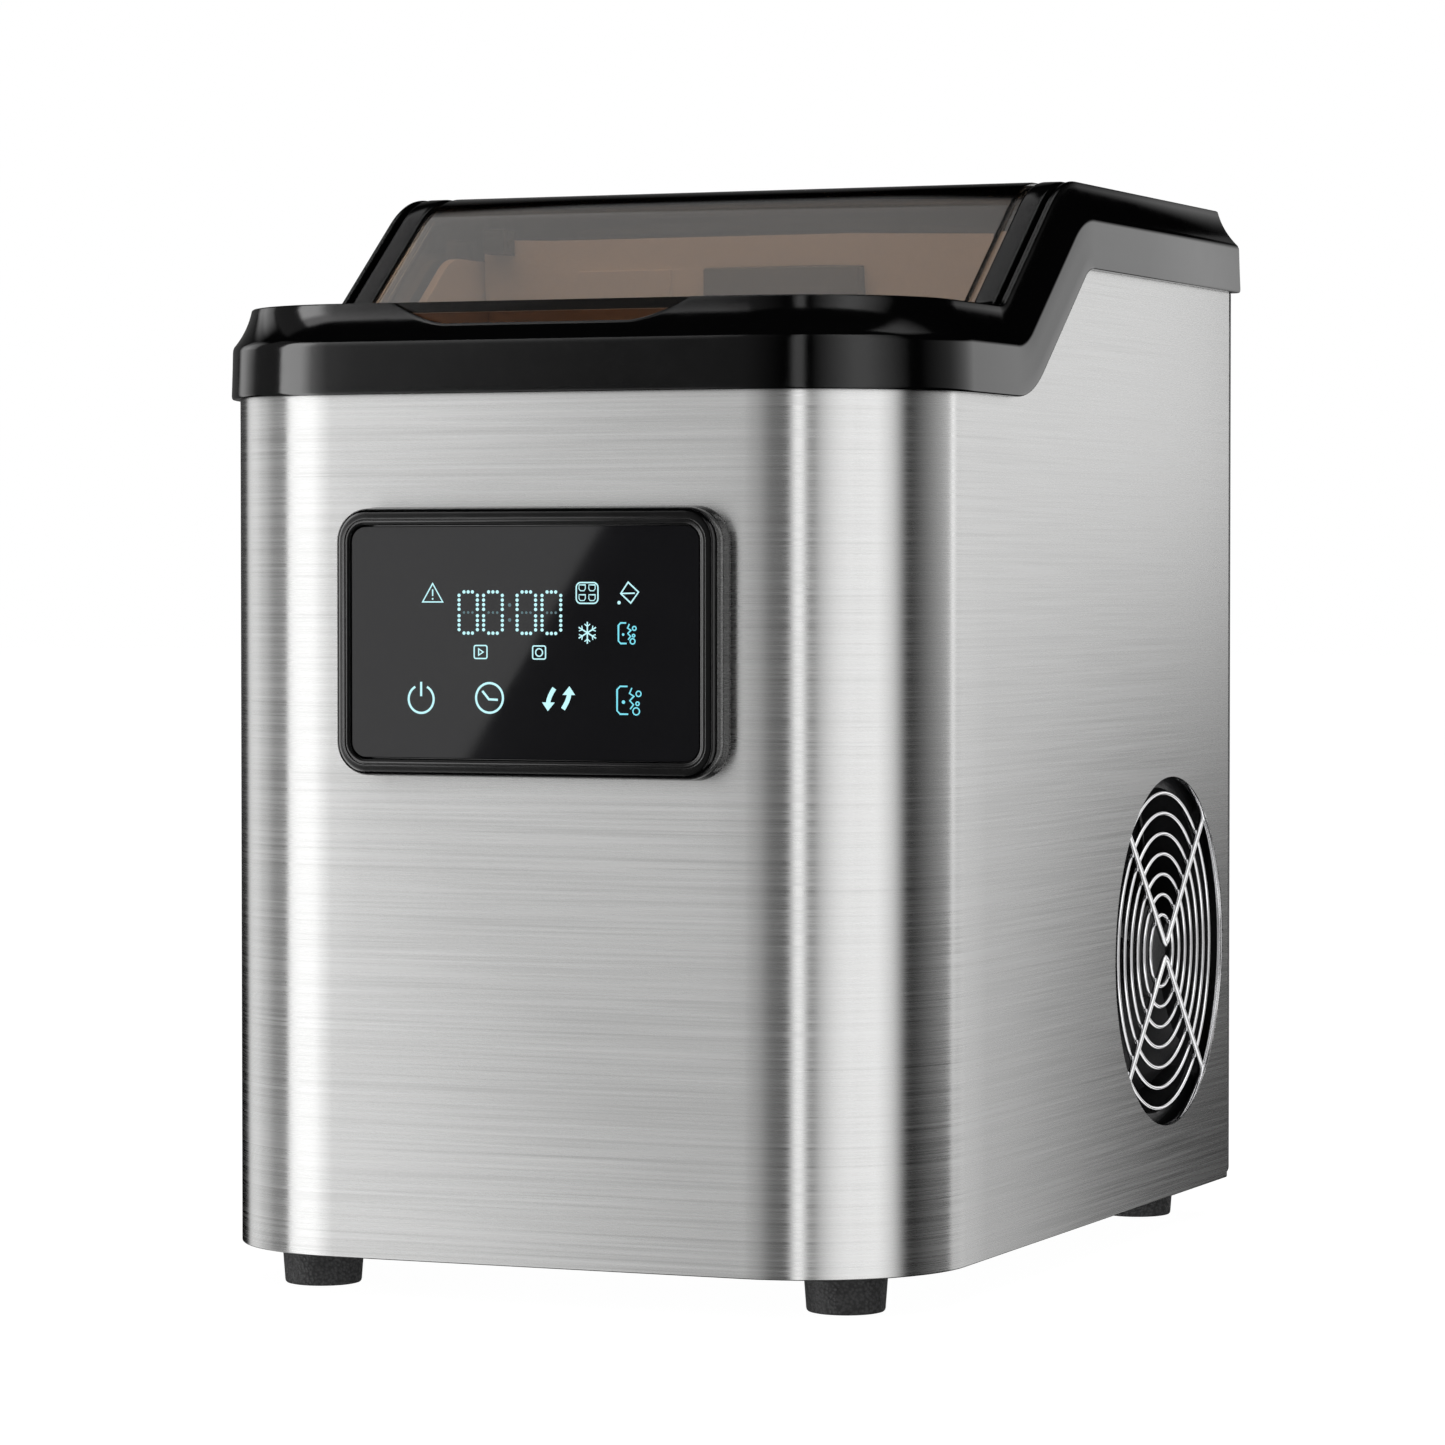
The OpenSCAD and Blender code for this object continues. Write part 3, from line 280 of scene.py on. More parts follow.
# Plain finishes: colour, roughness, how far they vary, scale of the grain, strength of its bump, metallic
PLAIN = {
    "chrome": ((0.86, 0.86, 0.87), 0.07, 0.04, (300, 300, 300), 0, 1.0),
    "plug_rubber": ((0.018, 0.018, 0.018), 0.6, 0.2, (900, 900, 900), 0.3),
    "black_metal": ((0.016, 0.016, 0.017), 0.42, 0.2, (1500, 1500, 1500), 0.35),
    "black_plastic": ((0.014, 0.014, 0.015), 0.45, 0.2, (1300, 1300, 1300), 0.25),
    "grey_plastic": ((0.07, 0.068, 0.066), 0.5, 0.1, (1100, 1100, 1100), 0.2),
    "liner_plastic": ((0.56, 0.52, 0.48), 0.38, 0.04, (700, 700, 700), 0.1),
    "clear_plastic": ((0.66, 0.68, 0.70), 0.35, 0.04, (500, 500, 500), 0.1),
    "motor_steel": ((0.55, 0.55, 0.56), 0.32, 0.1, (30, 30, 900), 0.1, 1.0),
    "nickel": ((0.66, 0.65, 0.63), 0.26, 0.06, (400, 400, 400), 0.1, 1.0),
    "aluminium_fin": ((0.70, 0.71, 0.72), 0.34, 0.08, (200, 200, 900), 0, 1.0),
    "copper": ((0.72, 0.36, 0.22), 0.28, 0.12, (150, 150, 150), 0.05, 1.0),
    "brass_valve": ((0.70, 0.54, 0.26), 0.3, 0.08, (200, 200, 200), 0, 1.0),
    "compressor_black": ((0.01, 0.01, 0.011), 0.22, 0.2, (250, 250, 250), 0.1),
    "foam": ((0.78, 0.73, 0.58), 0.9, 0.08, (900, 900, 900), 0.8),
    "board_green": ((0.02, 0.10, 0.045), 0.4, 0.25, (300, 300, 300), 0.1),
    "hose_clear": ((0.66, 0.69, 0.70), 0.3, 0.05, (300, 300, 300)),
    "pusher_white": ((0.72, 0.72, 0.70), 0.4, 0.04, (600, 600, 600), 0.1),
    "loom": ((0.55, 0.55, 0.53), 0.6, 0.15, (800, 800, 800), 0.2),
}
MATERIALS = {
    "brushed_steel": brushed_steel(),
    "gloss_black": gloss_black(),
    # A darker copy of the smoked plastic for the lid's front lip: painted shade, for the lip that sits low
    # behind the collar's rim and shows through the finger recess
    "smoked_lip_painted_shade": clear("smoked_lip_painted_shade", (0.22, 0.13, 0.08), 0.02, 1.45, (0.3, 0.22, 0.16)),
    "smoked_window": clear("smoked_window", (0.56, 0.45, 0.35), 0.02, 1.3, (0.68, 0.58, 0.5), 1.0),
    "panel_glass": plain("panel_glass", (0.006, 0.006, 0.007), 0.03, 0.1, (60, 60, 60), IOR=1.33),
    "foot_rubber": pebbled_rubber(),
    "scoop_plastic": clear("scoop_plastic", (0.72, 0.86, 0.93), 0.06),
    "glow_white": glow("glow_white", (0.55, 0.95, 1.0), 1.0),
    "glow_dim": glow("glow_dim", (0.16, 0.30, 0.34), 0.55),
    "glow_cyan": glow("glow_cyan", (0.2, 0.8, 0.95), 0.95),
}
for name, values in PLAIN.items():
    MATERIALS[name] = plain(name, *values)


# ---- Mesh helpers -----------------------------------------------------------------------------

def piece(name, points, faces, finish, body="cabinet", sharp=32, stands_for=()):
    """A closed mesh from points in millimetres. It rides on body and stands for the CAD nodes named."""
    mesh = bpy.data.meshes.new(name)
    mesh.from_pydata([at(*p) for p in points], [], faces)
    bm = bmesh.new()
    bm.from_mesh(mesh)
    bmesh.ops.remove_doubles(bm, verts=bm.verts, dist=1e-7)
    bmesh.ops.recalc_face_normals(bm, faces=bm.faces)
    bm.to_mesh(mesh)
    bm.free()
    return finished(name, mesh, finish, body, sharp, stands_for)


def finished(name, mesh, finish, body, sharp=32, stands_for=()):
    for polygon in mesh.polygons:
        polygon.use_smooth = True
    mesh.set_sharp_from_angle(angle=math.radians(sharp))
    mesh.materials.clear()
    mesh.materials.append(MATERIALS[finish])
    made = placed(name, mesh)
    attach(made, body)
    if stands_for:
        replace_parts(made, *stands_for)
    return made


def loft(rings, closed_path=False, caps=True):
    """Points and faces of a skin over rings of equal length."""
    size = len(rings[0])
    points = [p for ring in rings for p in ring]
    faces = []
    count = len(rings)
    for i in range(count if closed_path else count - 1):
        j = (i + 1) % count
        for k in range(size):
            m = (k + 1) % size
            faces.append((i * size + k, i * size + m, j * size + m, j * size + k))
    if caps and not closed_path:
        faces.append(tuple(range(size)))
        faces.append(tuple(reversed(range((count - 1) * size, count * size))))
    return points, faces


def joined(*shells):
    """Several (points, faces) as one."""
    points, faces = [], []
    for p, f in shells:
        base = len(points)
        points += p
        faces += [tuple(i + base for i in face) for face in f]
    return points, faces


def box_shell(lo, hi, soft=0.0):
    """A box with its edges cut back by soft."""
    def layer(z, inset):
        x0, y0, x1, y1 = lo[0] + inset, lo[1] + inset, hi[0] - inset, hi[1] - inset
        c = max(soft, 1e-4)
        return [(x0 + c, y0, z), (x1 - c, y0, z), (x1, y0 + c, z), (x1, y1 - c, z),
                (x1 - c, y1, z), (x0 + c, y1, z), (x0, y1 - c, z), (x0, y0 + c, z)]
    if not soft:
        return loft([[(lo[0], lo[1], z), (hi[0], lo[1], z), (hi[0], hi[1], z), (lo[0], hi[1], z)]
                     for z in (lo[2], hi[2])])
    return loft([layer(lo[2], soft), layer(lo[2] + soft, 0), layer(hi[2] - soft, 0), layer(hi[2], soft)])


def circle(r, count, start=0.0):
    return [(r * math.cos(start + 2 * math.pi * k / count), r * math.sin(start + 2 * math.pi * k / count))
            for k in range(count)]


def lathe(profile, centre, axis="z", count=64):
    """A closed profile of (radius, height) turned about an axis through centre."""
    rings = []
    for k in range(count):
        a = 2 * math.pi * k / count
        ring = []
        for r, h in profile:
            u, v = r * math.cos(a), r * math.sin(a)
            p = {"z": (u, v, h), "x": (h, u, v), "y": (u, h, v)}[axis]
            ring.append(tuple(centre[i] + p[i] for i in range(3)))
        rings.append(ring)
    return loft(rings, closed_path=True)


def tube(path, r, sides=12, closed=False):
    """A round bar along a path of points, with its section carried along without a twist."""
    path = [Vector(p) for p in path]
    count = len(path)
    rings = []
    side = None
    for i, p in enumerate(path):
        before = path[i - 1] if i or closed else p
        after = path[(i + 1) % count] if i < count - 1 or closed else p
        way = (after - before).normalized()
        if side is None:
            side = way.orthogonal().normalized()
        side = (side - way * side.dot(way)).normalized()
        up = way.cross(side)
        rings.append([tuple(p + side * (r * c) + up * (r * s)) for c, s in circle(1, sides)])
    return loft(rings, closed_path=closed)


def arc(centre, r, start, end, count):
    """Points (u, v) on an arc, in degrees."""
    return [(centre[0] + r * math.cos(math.radians(lerp(start, end, k / count))),
             centre[1] + r * math.sin(math.radians(lerp(start, end, k / count)))) for k in range(count + 1)]


def round_rect(w, h, r, steps=8):
    """Outline of a rounded rectangle round (0, 0), anticlockwise."""
    outline = []
    for sx, sy, start in ((1, -1, -90), (1, 1, 0), (-1, 1, 90), (-1, -1, 180)):
        outline += arc((sx * (w / 2 - r), sy * (h / 2 - r)), r, start, start + 90, steps)
    return outline


def refined(name, finish, bevel=0.3, body="cabinet", sharp=30):
    """A CAD node's shape with its facets merged and its sharp edges rounded."""
    bm = bmesh.new()
    bm.from_mesh(frame["nodes"][name].data)
    bmesh.ops.remove_doubles(bm, verts=bm.verts, dist=2e-6)
    bmesh.ops.dissolve_limit(bm, angle_limit=math.radians(1), verts=bm.verts, edges=bm.edges)
    mesh = bpy.data.meshes.new(name + "_look")
    bm.to_mesh(mesh)
    bm.free()
    made = finished(name + "_look", mesh, finish, body, sharp, (name,))
    if bevel:
        rounding = made.modifiers.new("edges", "BEVEL")
        rounding.width = bevel * MM
        rounding.segments = 2
        rounding.limit_method = "ANGLE"
        rounding.angle_limit = math.radians(40)
        rounding.harden_normals = False
    return made


# ---- The stepped top line ---------------------------------------------------------------------

def low_corner(h):
    return BEND_Y - h * math.tan(math.radians(SLOPE / 2)), LOW_H + h


def bends(h, count=14):
    """[y, z, slope] along the two bends of the stepped line, lifted square to itself by h."""
    t, s = math.tan(math.radians(SLOPE / 2)), math.tan(math.radians(SLOPE))
    ra, rb = LOW_BEND_R - h, HIGH_BEND_R + h
    ya, za = low_corner(h)
    ya2, za2 = ya - ra * t, za + ra
    yb, zb = ya + STEP_RISE / s + rb * t, za + STEP_RISE - rb
    made = []
    for k in range(count + 1):
        a = math.radians(SLOPE * k / count)
        made.append((ya2 + ra * math.sin(a), za2 - ra * math.cos(a), math.degrees(a)))
    for k in range(count + 1):
        a = math.radians(SLOPE * (1 - k / count))
        made.append((yb - rb * math.sin(a), zb + rb * math.cos(a), math.degrees(a)))
    return made


def step_z(y, h):
    """Height of the stepped line, lifted by h, at y."""
    line = [(-999.0, LOW_H + h, 0)] + bends(h) + [(999.0, HIGH_H + h, 0)]
    for a, b in zip(line, line[1:]):
        if y <= b[0]:
            return lerp(a[1], b[1], (y - a[0]) / max(b[0] - a[0], 1e-9))
    return line[-1][1]


def lifted(station, out, h):
    """A point out and h up from a station [x, y, z, out x, out y, slope]."""
    x, y, z, ox, oy, slope = station[:6]
    a = math.radians(slope)
    return x + out * ox, y + out * oy - h * math.sin(a), z + h * math.cos(a)


# ---- Steel cabinet ----------------------------------------------------------------------------

def plan_line(inset, back, corner=20):
    """Open outline of the cabinet's plan from the rear left, round the front, to the rear right."""
    r = CORNER_R - inset
    x = HALF - CORNER_R
    left = [(inset - HALF, lerp(back, CORNER_R, k / 14)) for k in range(14)]
    turn = [(-x - r * math.cos(math.radians(a)), CORNER_R - r * math.sin(math.radians(a)))
            for a in [90 * k / corner for k in range(corner + 1)]]
    half = left + turn
    return half + [(-px, py) for px, py in reversed(half)]


def steel_cabinet():
    sheet, tuck = 0.8, 2.8
    back = BODY_D - 2.6
    outer, inner = plan_line(0, back), plan_line(sheet, back)
    rings = []
    for (xo, yo), (xi, yi) in zip(outer, inner):
        top = step_z(yo, tuck)
        rings.append([(xo, yo, 0.25), (xo, yo, top), (xi, yi, top), (xi, yi, 0.0),
                      (lerp(xi, xo, 0.7), lerp(yi, yo, 0.7), 0.0)])
    points, faces = loft(rings)
    made = piece("steel_cabinet", points, faces, "brushed_steel", stands_for=("outer_wrap",))
    cutters = []
    ring = circle(GRILLE_R, 128)
    cutters.append(loft([[(x, GRILLE_Y + u, GRILLE_Z + v) for u, v in ring] for x in (HALF - 3, HALF + 3)]))
    hole = round_rect(PANEL_W - 14, PANEL_H - 14, 4)
    cutters.append(loft([[(PANEL_X + u, y, PANEL_Z + v) for u, v in hole] for y in (-2, 3)]))
    slot = round_rect(22, 4, 1.9, 5)
    for row in range(9):
        for col in range(3):
            cy, cz = 195 + 28 * col, 40 + 11 * row
            cutters.append(loft([[(x, cy + u, cz + v) for u, v in slot] for x in (-HALF - 3, -HALF + 3)]))
    cut_points, cut_faces = joined(*cutters)
    cutter = piece("cutter", cut_points, cut_faces, "black_metal")
    cut = made.modifiers.new("holes", "BOOLEAN")
    cut.object = cutter
    cut.solver = "EXACT"
    bpy.context.view_layer.update()
    whole = bpy.data.meshes.new_from_object(made.evaluated_get(bpy.context.evaluated_depsgraph_get()))
    made.modifiers.clear()
    made.data = whole
    for polygon in whole.polygons:
        polygon.use_smooth = True
    whole.set_sharp_from_angle(angle=math.radians(32))
    whole.materials.clear()
    whole.materials.append(MATERIALS["brushed_steel"])
    bpy.data.objects.remove(cutter)

    lip = [(GRILLE_R + 0.9, HALF - 0.4), (GRILLE_R + 0.9, HALF - 0.05), (GRILLE_R + 0.35, HALF - 0.02),
           (GRILLE_R + 0.05, HALF - 0.2), (GRILLE_R - 0.1, HALF - 0.6), (GRILLE_R - 0.1, HALF - 1.9),
           (GRILLE_R + 0.3, HALF - 1.9)]
    points, faces = lathe(lip, (0, GRILLE_Y, GRILLE_Z), "x", 128)
    piece("grille_lip", points, faces, "chrome")


steel_cabinet()


# ---- Collar -----------------------------------------------------------------------------------

def cove_out(h):
    """How far out the cove is at lift h."""
    angle = math.acos(math.cos(math.radians(COVE_START)) - (h - COVE_FOOT[1]) / COVE_R)
    return COVE_FOOT[0] - COVE_R * (math.sin(angle) - math.sin(math.radians(COVE_START)))


def collar_section(top):
    """Closed section of the collar as (out, lift), with its rim at height top."""
    shoulder = top - 0.75
    edge = cove_out(shoulder)
    cove = [(cove_out(lerp(COVE_FOOT[1], shoulder, k / 12)), lerp(COVE_FOOT[1], shoulder, k / 12))
            for k in range(13)]
    band = [(0.2, 0.4), (0.5, 0.05), (1.7, 0.0), (2.2, 0.15), (2.42, 0.5), (COLLAR_OUT, 1.1),
            (2.38, 4.5), (2.24, 9.0), (2.14, 13.6), (2.06, 14.3), (1.9, BAND_H)]
    inside = [(edge - 0.12, top - 0.35), (edge - 0.5, top - 0.06), (edge - 0.95, top),
              (0.9 - RIM_INNER, top), (0.3 - RIM_INNER, top - 0.12), (0.06 - RIM_INNER, top - 0.45),
              (-RIM_INNER, top - 1.0), (-RIM_INNER, LEDGE_H + 0.4), (-RIM_INNER - 0.4, LEDGE_H),
              (0.4 - LEDGE_IN, LEDGE_H), (-LEDGE_IN, LEDGE_H - 0.4), (-LEDGE_IN, 6.0),
              (2.2 - LEDGE_IN, 6.0), (2.2 - LEDGE_IN, LEDGE_H - 2.5), (-3.4, LEDGE_H - 2.5),
              (-3.4, -9.0), (-1.0, -9.0), (-1.0, 3.2), (0.2, 3.2)]
    return band + cove + inside


def recess_at(x):
    t = max(0.0, min(1.0, (RECESS_HALF + RECESS_RUN - x) / RECESS_RUN))
    return RECESS_DEPTH * (1 - (1 - t) ** 1.55)


def collar_stations():
    right = [(x, 0, LOW_H, 0, -1, 0, RIM_H - recess_at(x))
             for x in [0, 16] + [RECESS_HALF + RECESS_RUN * k / 14 for k in range(15)] + [54]]
    for k in range(29):
        a = math.radians(90 * k / 28)
        right.append((HALF - CORNER_R * (1 - math.sin(a)), CORNER_R * (1 - math.cos(a)), LOW_H,
                      math.sin(a), -math.cos(a), 0, RIM_H))
    right += [(HALF, y, z, 1, 0, slope, RIM_H) for y, z, slope in bends(0)]
    right += [(HALF, 200.0, HIGH_H, 1, 0, 0, RIM_H)]
    for k in range(7):
        a = math.radians(90 * k / 6)
        r = 1.2
        right.append((HALF - r + r * math.cos(a), BODY_D - r + r * math.sin(a), HIGH_H, 1, 1, 0, RIM_H))
    right.append((0, BODY_D, HIGH_H, 0, 1, 0, RIM_H))
    left = [(-s[0], s[1], s[2], -s[3], s[4], s[5], s[6]) for s in reversed(right[1:-1])]
    return right + left


points, faces = loft([[lifted(s, out, h) for out, h in collar_section(s[6])] for s in collar_stations()],
                     closed_path=True)
piece("collar", points, faces, "gloss_black", sharp=28, stands_for=("top_collar",))


# ---- Lid --------------------------------------------------------------------------------------

def lid_stations(first_turn, back):
    """[y, z, slope, widest x] from the lid's front edge to back. first_turn is the corner's start angle."""
    r = CORNER_R - LID_EDGE
    made = []
    for k in range(17):
        a = math.radians(lerp(first_turn, 90, k / 16))
        made.append((CORNER_R - r * math.cos(a), LOW_H, 0.0, HALF - CORNER_R + r * math.sin(a)))
    wide = HALF - LID_EDGE
    made += [(y, z, slope, wide) for y, z, slope in bends(0)]
    made.append((back, HIGH_H, 0.0, wide))
    return made


def over(station, x, h):
    """A point at x across the lid and h over the stepped line at a station."""
    y, z, slope = station[:3]
    a = math.radians(slope)
    return x, y - h * math.sin(a), z + h * math.cos(a)


def lid_window():
    low, high = RIM_H - WINDOW_T, RIM_H
    w = WINDOW_HALF
    half = [(0, high), (w * 0.5, high), (w - 0.9, high), (w - 0.35, high - 0.1), (w - 0.08, high - 0.4),
            (w, high - 0.9), (w, low + 1.3), (w + 0.15, low + 1.2), (RAIL_IN - 0.1, low + 1.2),
            (RAIL_IN - 0.1, low), (w * 0.5, low), (0, low)]
    section = [(-x, h) for x, h in reversed(half[1:-1])] + half
    rings = []
    for station in lid_stations(0, HINGE_Y - 10):
        squeeze = min(1.0, (station[3] - 0.2) / (RAIL_IN - 0.1))
        rings.append([over(station, x * squeeze, h) for x, h in section])
    slab = loft(rings)
    r = CORNER_R - LID_EDGE
    limit = math.degrees(math.asin((WINDOW_HALF - HALF + CORNER_R) / r))
    turn = [limit * k / 12 for k in range(13)]
    edge = [(HALF - CORNER_R + r * math.sin(math.radians(a)), CORNER_R - r * math.cos(math.radians(a)),
             math.sin(math.radians(a)), -math.cos(math.radians(a))) for a in turn]
    edge = [(-x, y, -ox, oy) for x, y, ox, oy in reversed(edge)] + edge
    z0, z1 = LOW_H + LEDGE_H + 0.6, LOW_H + low - 0.06
    skirt = [(0, z0 + 0.4), (0, z1), (-2.6, z1), (-2.6, z0 + 0.4), (-2.2, z0), (-0.4, z0)]
    lip = loft([[(x + ox * out, y + oy * out, z) for out, z in skirt] for x, y, ox, oy in edge])
    points, faces = joined(slab, lip)
    made = piece("smoked_lid", points, faces, "smoked_window", body="lid", stands_for=("lid_window",))
    made.data.materials.append(MATERIALS["smoked_lip_painted_shade"])
    # Faces under the window's underside, the front lip, take the darker copy of the smoked plastic: painted
    # shade
    top_of_lip = at(0, 0, z1 + 0.02)[2]
    for face in made.data.polygons:
        if face.center.z < top_of_lip:
            face.material_index = 1


def lid_rail(side):
    low, high = LEDGE_H + 0.8, RIM_H
    rings = []
    for station in lid_stations(62, HINGE_Y - 5.5):
        inner, outer = RAIL_IN, station[3] - RAIL_GAP
        soft = min(1.1, (outer - inner) * 0.35)
        section = [(inner, low), (inner, high - soft)]
        section += [(u, v) for u, v in arc((inner + soft, high - soft), soft, 180, 90, 4)]
        section += [(u, v) for u, v in arc((outer - soft, high - soft), soft, 90, 0, 4)]
        section += [(outer, high - soft - 0.01), (outer, low)]
        rings.append([over(station, side * x, h) for x, h in section])
    points, faces = loft(rings)
    name = "left" if side < 0 else "right"
    piece("lid_side_rail_" + name, points, faces, "gloss_black", body="lid",
          stands_for=("lid_rail_" + name,))


def hinge_bar():
    top = HINGE_Z + HINGE_R
    barrel_half, wide = 89.5, RAIL_IN
    barrel = lathe([(0.01, -barrel_half), (HINGE_R - 0.4, -barrel_half), (HINGE_R - 0.05, 0.4 - barrel_half),
                    (HINGE_R - 0.05, barrel_half - 0.4), (HINGE_R - 0.4, barrel_half), (0.01, barrel_half)],
                   (0, HINGE_Y, HINGE_Z), "x", 48)
    plate = box_shell((-barrel_half, HINGE_Y - 9.9, top - WINDOW_T),
                      (barrel_half, HINGE_Y - 0.5, top - 0.06), 0.3)
    ends = box_shell((-wide, HINGE_Y - 9.9, top - WINDOW_T), (wide, HINGE_Y - 5.5, top - 0.05), 0.3)
    pin = lathe([(0.01, -97), (2.1, -97), (2.45, -96.5), (2.45, 96.5), (2.1, 97), (0.01, 97)],
                (0, HINGE_Y, HINGE_Z), "x", 32)
    points, faces = joined(barrel, plate, ends, pin)
    piece("lid_back_bar", points, faces, "gloss_black", body="lid", stands_for=("lid_hinge_bar",))


lid_window()
lid_rail(-1)
lid_rail(1)
hinge_bar()
refined("lid_bumpers", "plug_rubber", 0.15, "lid")
refined("rear_cover", "gloss_black", 0.8)
refined("hinge_blocks", "gloss_black", 0.3)


# ---- Control panel ----------------------------------------------------------------------------

def on_panel(x, y, z):
    return PANEL_X + x, y, PANEL_Z + z


def framed(profile, steps=10):
    """A closed profile of (inset, y) swept round the panel's outline."""
    rings = []
    for inset, y in profile:
        outline = round_rect(PANEL_W - 2 * inset, PANEL_H - 2 * inset, max(PANEL_R - inset, 0.6), steps)
        rings.append([on_panel(u, y, v) for u, v in outline])
    return loft(rings, closed_path=True)


def bezel():
    flange = [(0.0, -0.05), (0.0, -0.7), (0.1, -1.3), (0.3, -2.4), (0.45, -3.1), (0.75, -3.3)]
    side = [(0.5, -3.5), (0.42, -3.8), (0.42, -6.6), (0.48, -7.2), (0.7, -7.8), (1.05, -8.3), (1.5, -8.62),
            (1.95, -8.76), (2.3, -8.8)]
    rings = [(3.45, -8.8), (3.55, -8.66), (3.68, -8.62), (3.82, -8.68), (3.9, -8.78), (4.7, -8.8),
             (4.95, -8.72), (5.1, -8.5), (5.2, -8.2)]
    inside = [(5.2, -4.65), (9.5, -4.65), (9.5, 8.0), (7.3, 8.0), (7.3, -0.05)]
    points, faces = framed(flange + side + rings + inside)
    piece("panel_frame", points, faces, "gloss_black", sharp=24, stands_for=("panel_bezel",))


def touch_glass():
    front, edge = -8.3, 0.22
    rings = []
    for inset, y, r in ((5.45, -4.7, 4.4), (5.45, front + edge, 4.4), (5.45 + edge, front, 4.2)):
        outline = round_rect(PANEL_W - 2 * inset, PANEL_H - 2 * inset, r, 10)
        rings.append([on_panel(u, y, v) for u, v in outline])
    points, faces = loft(rings)
    piece("touch_glass", points, faces, "panel_glass", sharp=20, stands_for=("panel_glass",))


bezel()
touch_glass()

PRINT_Y = -8.36


def ribbon(line, width, closed=False):
    """A flat stroke of the given width along points (x, z) of the panel."""
    count = len(line)
    sides = []
    for i, (x, z) in enumerate(line):
        before = line[i - 1] if i or closed else line[i]
        after = line[(i + 1) % count] if i < count - 1 or closed else line[i]
        dx, dz = after[0] - before[0], after[1] - before[1]
        size = math.hypot(dx, dz) or 1.0
        nx, nz = -dz / size * width / 2, dx / size * width / 2
        if 0 < i < count - 1 or closed:
            ax, az = x - before[0], z - before[1]
            along = math.hypot(ax, az) or 1.0
            lean = abs(ax * dx + az * dz) / (along * size)
            stretch = min(1.8, 1 / max(lean, 0.5))
            nx, nz = nx * stretch, nz * stretch
        sides.append(((x + nx, z + nz), (x - nx, z - nz)))
    rings = [[(a[0], PRINT_Y, a[1]), (b[0], PRINT_Y, b[1]), (b[0], PRINT_Y + 0.05, b[1]),
              (a[0], PRINT_Y + 0.05, a[1])] for a, b in sides]
    return loft(rings, closed_path=closed)


def patch(outline):
    """A flat filled shape on the panel."""
    return loft([[(x, y, z) for x, z in outline] for y in (PRINT_Y, PRINT_Y + 0.05)])


def dot(x, z, r):
    return patch([(x + u, z + v) for u, v in circle(r, 12)])


def ring_line(x, z, r, start, end, count=24):
    return arc((x, z), r, start, end, count)


def moved(outline, x, z):
    return [(u + x, v + z) for u, v in outline]


def digit_dots(x0, x1, top, bottom):
    """Dots of a zero: three along its top and bottom, and four down each side of each half."""
    bright, dim = [], []
    middle = (top + bottom) / 2
    for x in (lerp(x0, x1, t) for t in (0.27, 0.5, 0.73)):
        bright += [(x, top), (x, bottom)]
        dim.append((x, middle))
    for x in (x0, x1):
        for k in range(4):
            bright.append((x, lerp(top, middle, (k + 0.75) / 4.45)))
            bright.append((x, lerp(bottom, middle, (k + 0.75) / 4.45)))
    return bright, dim


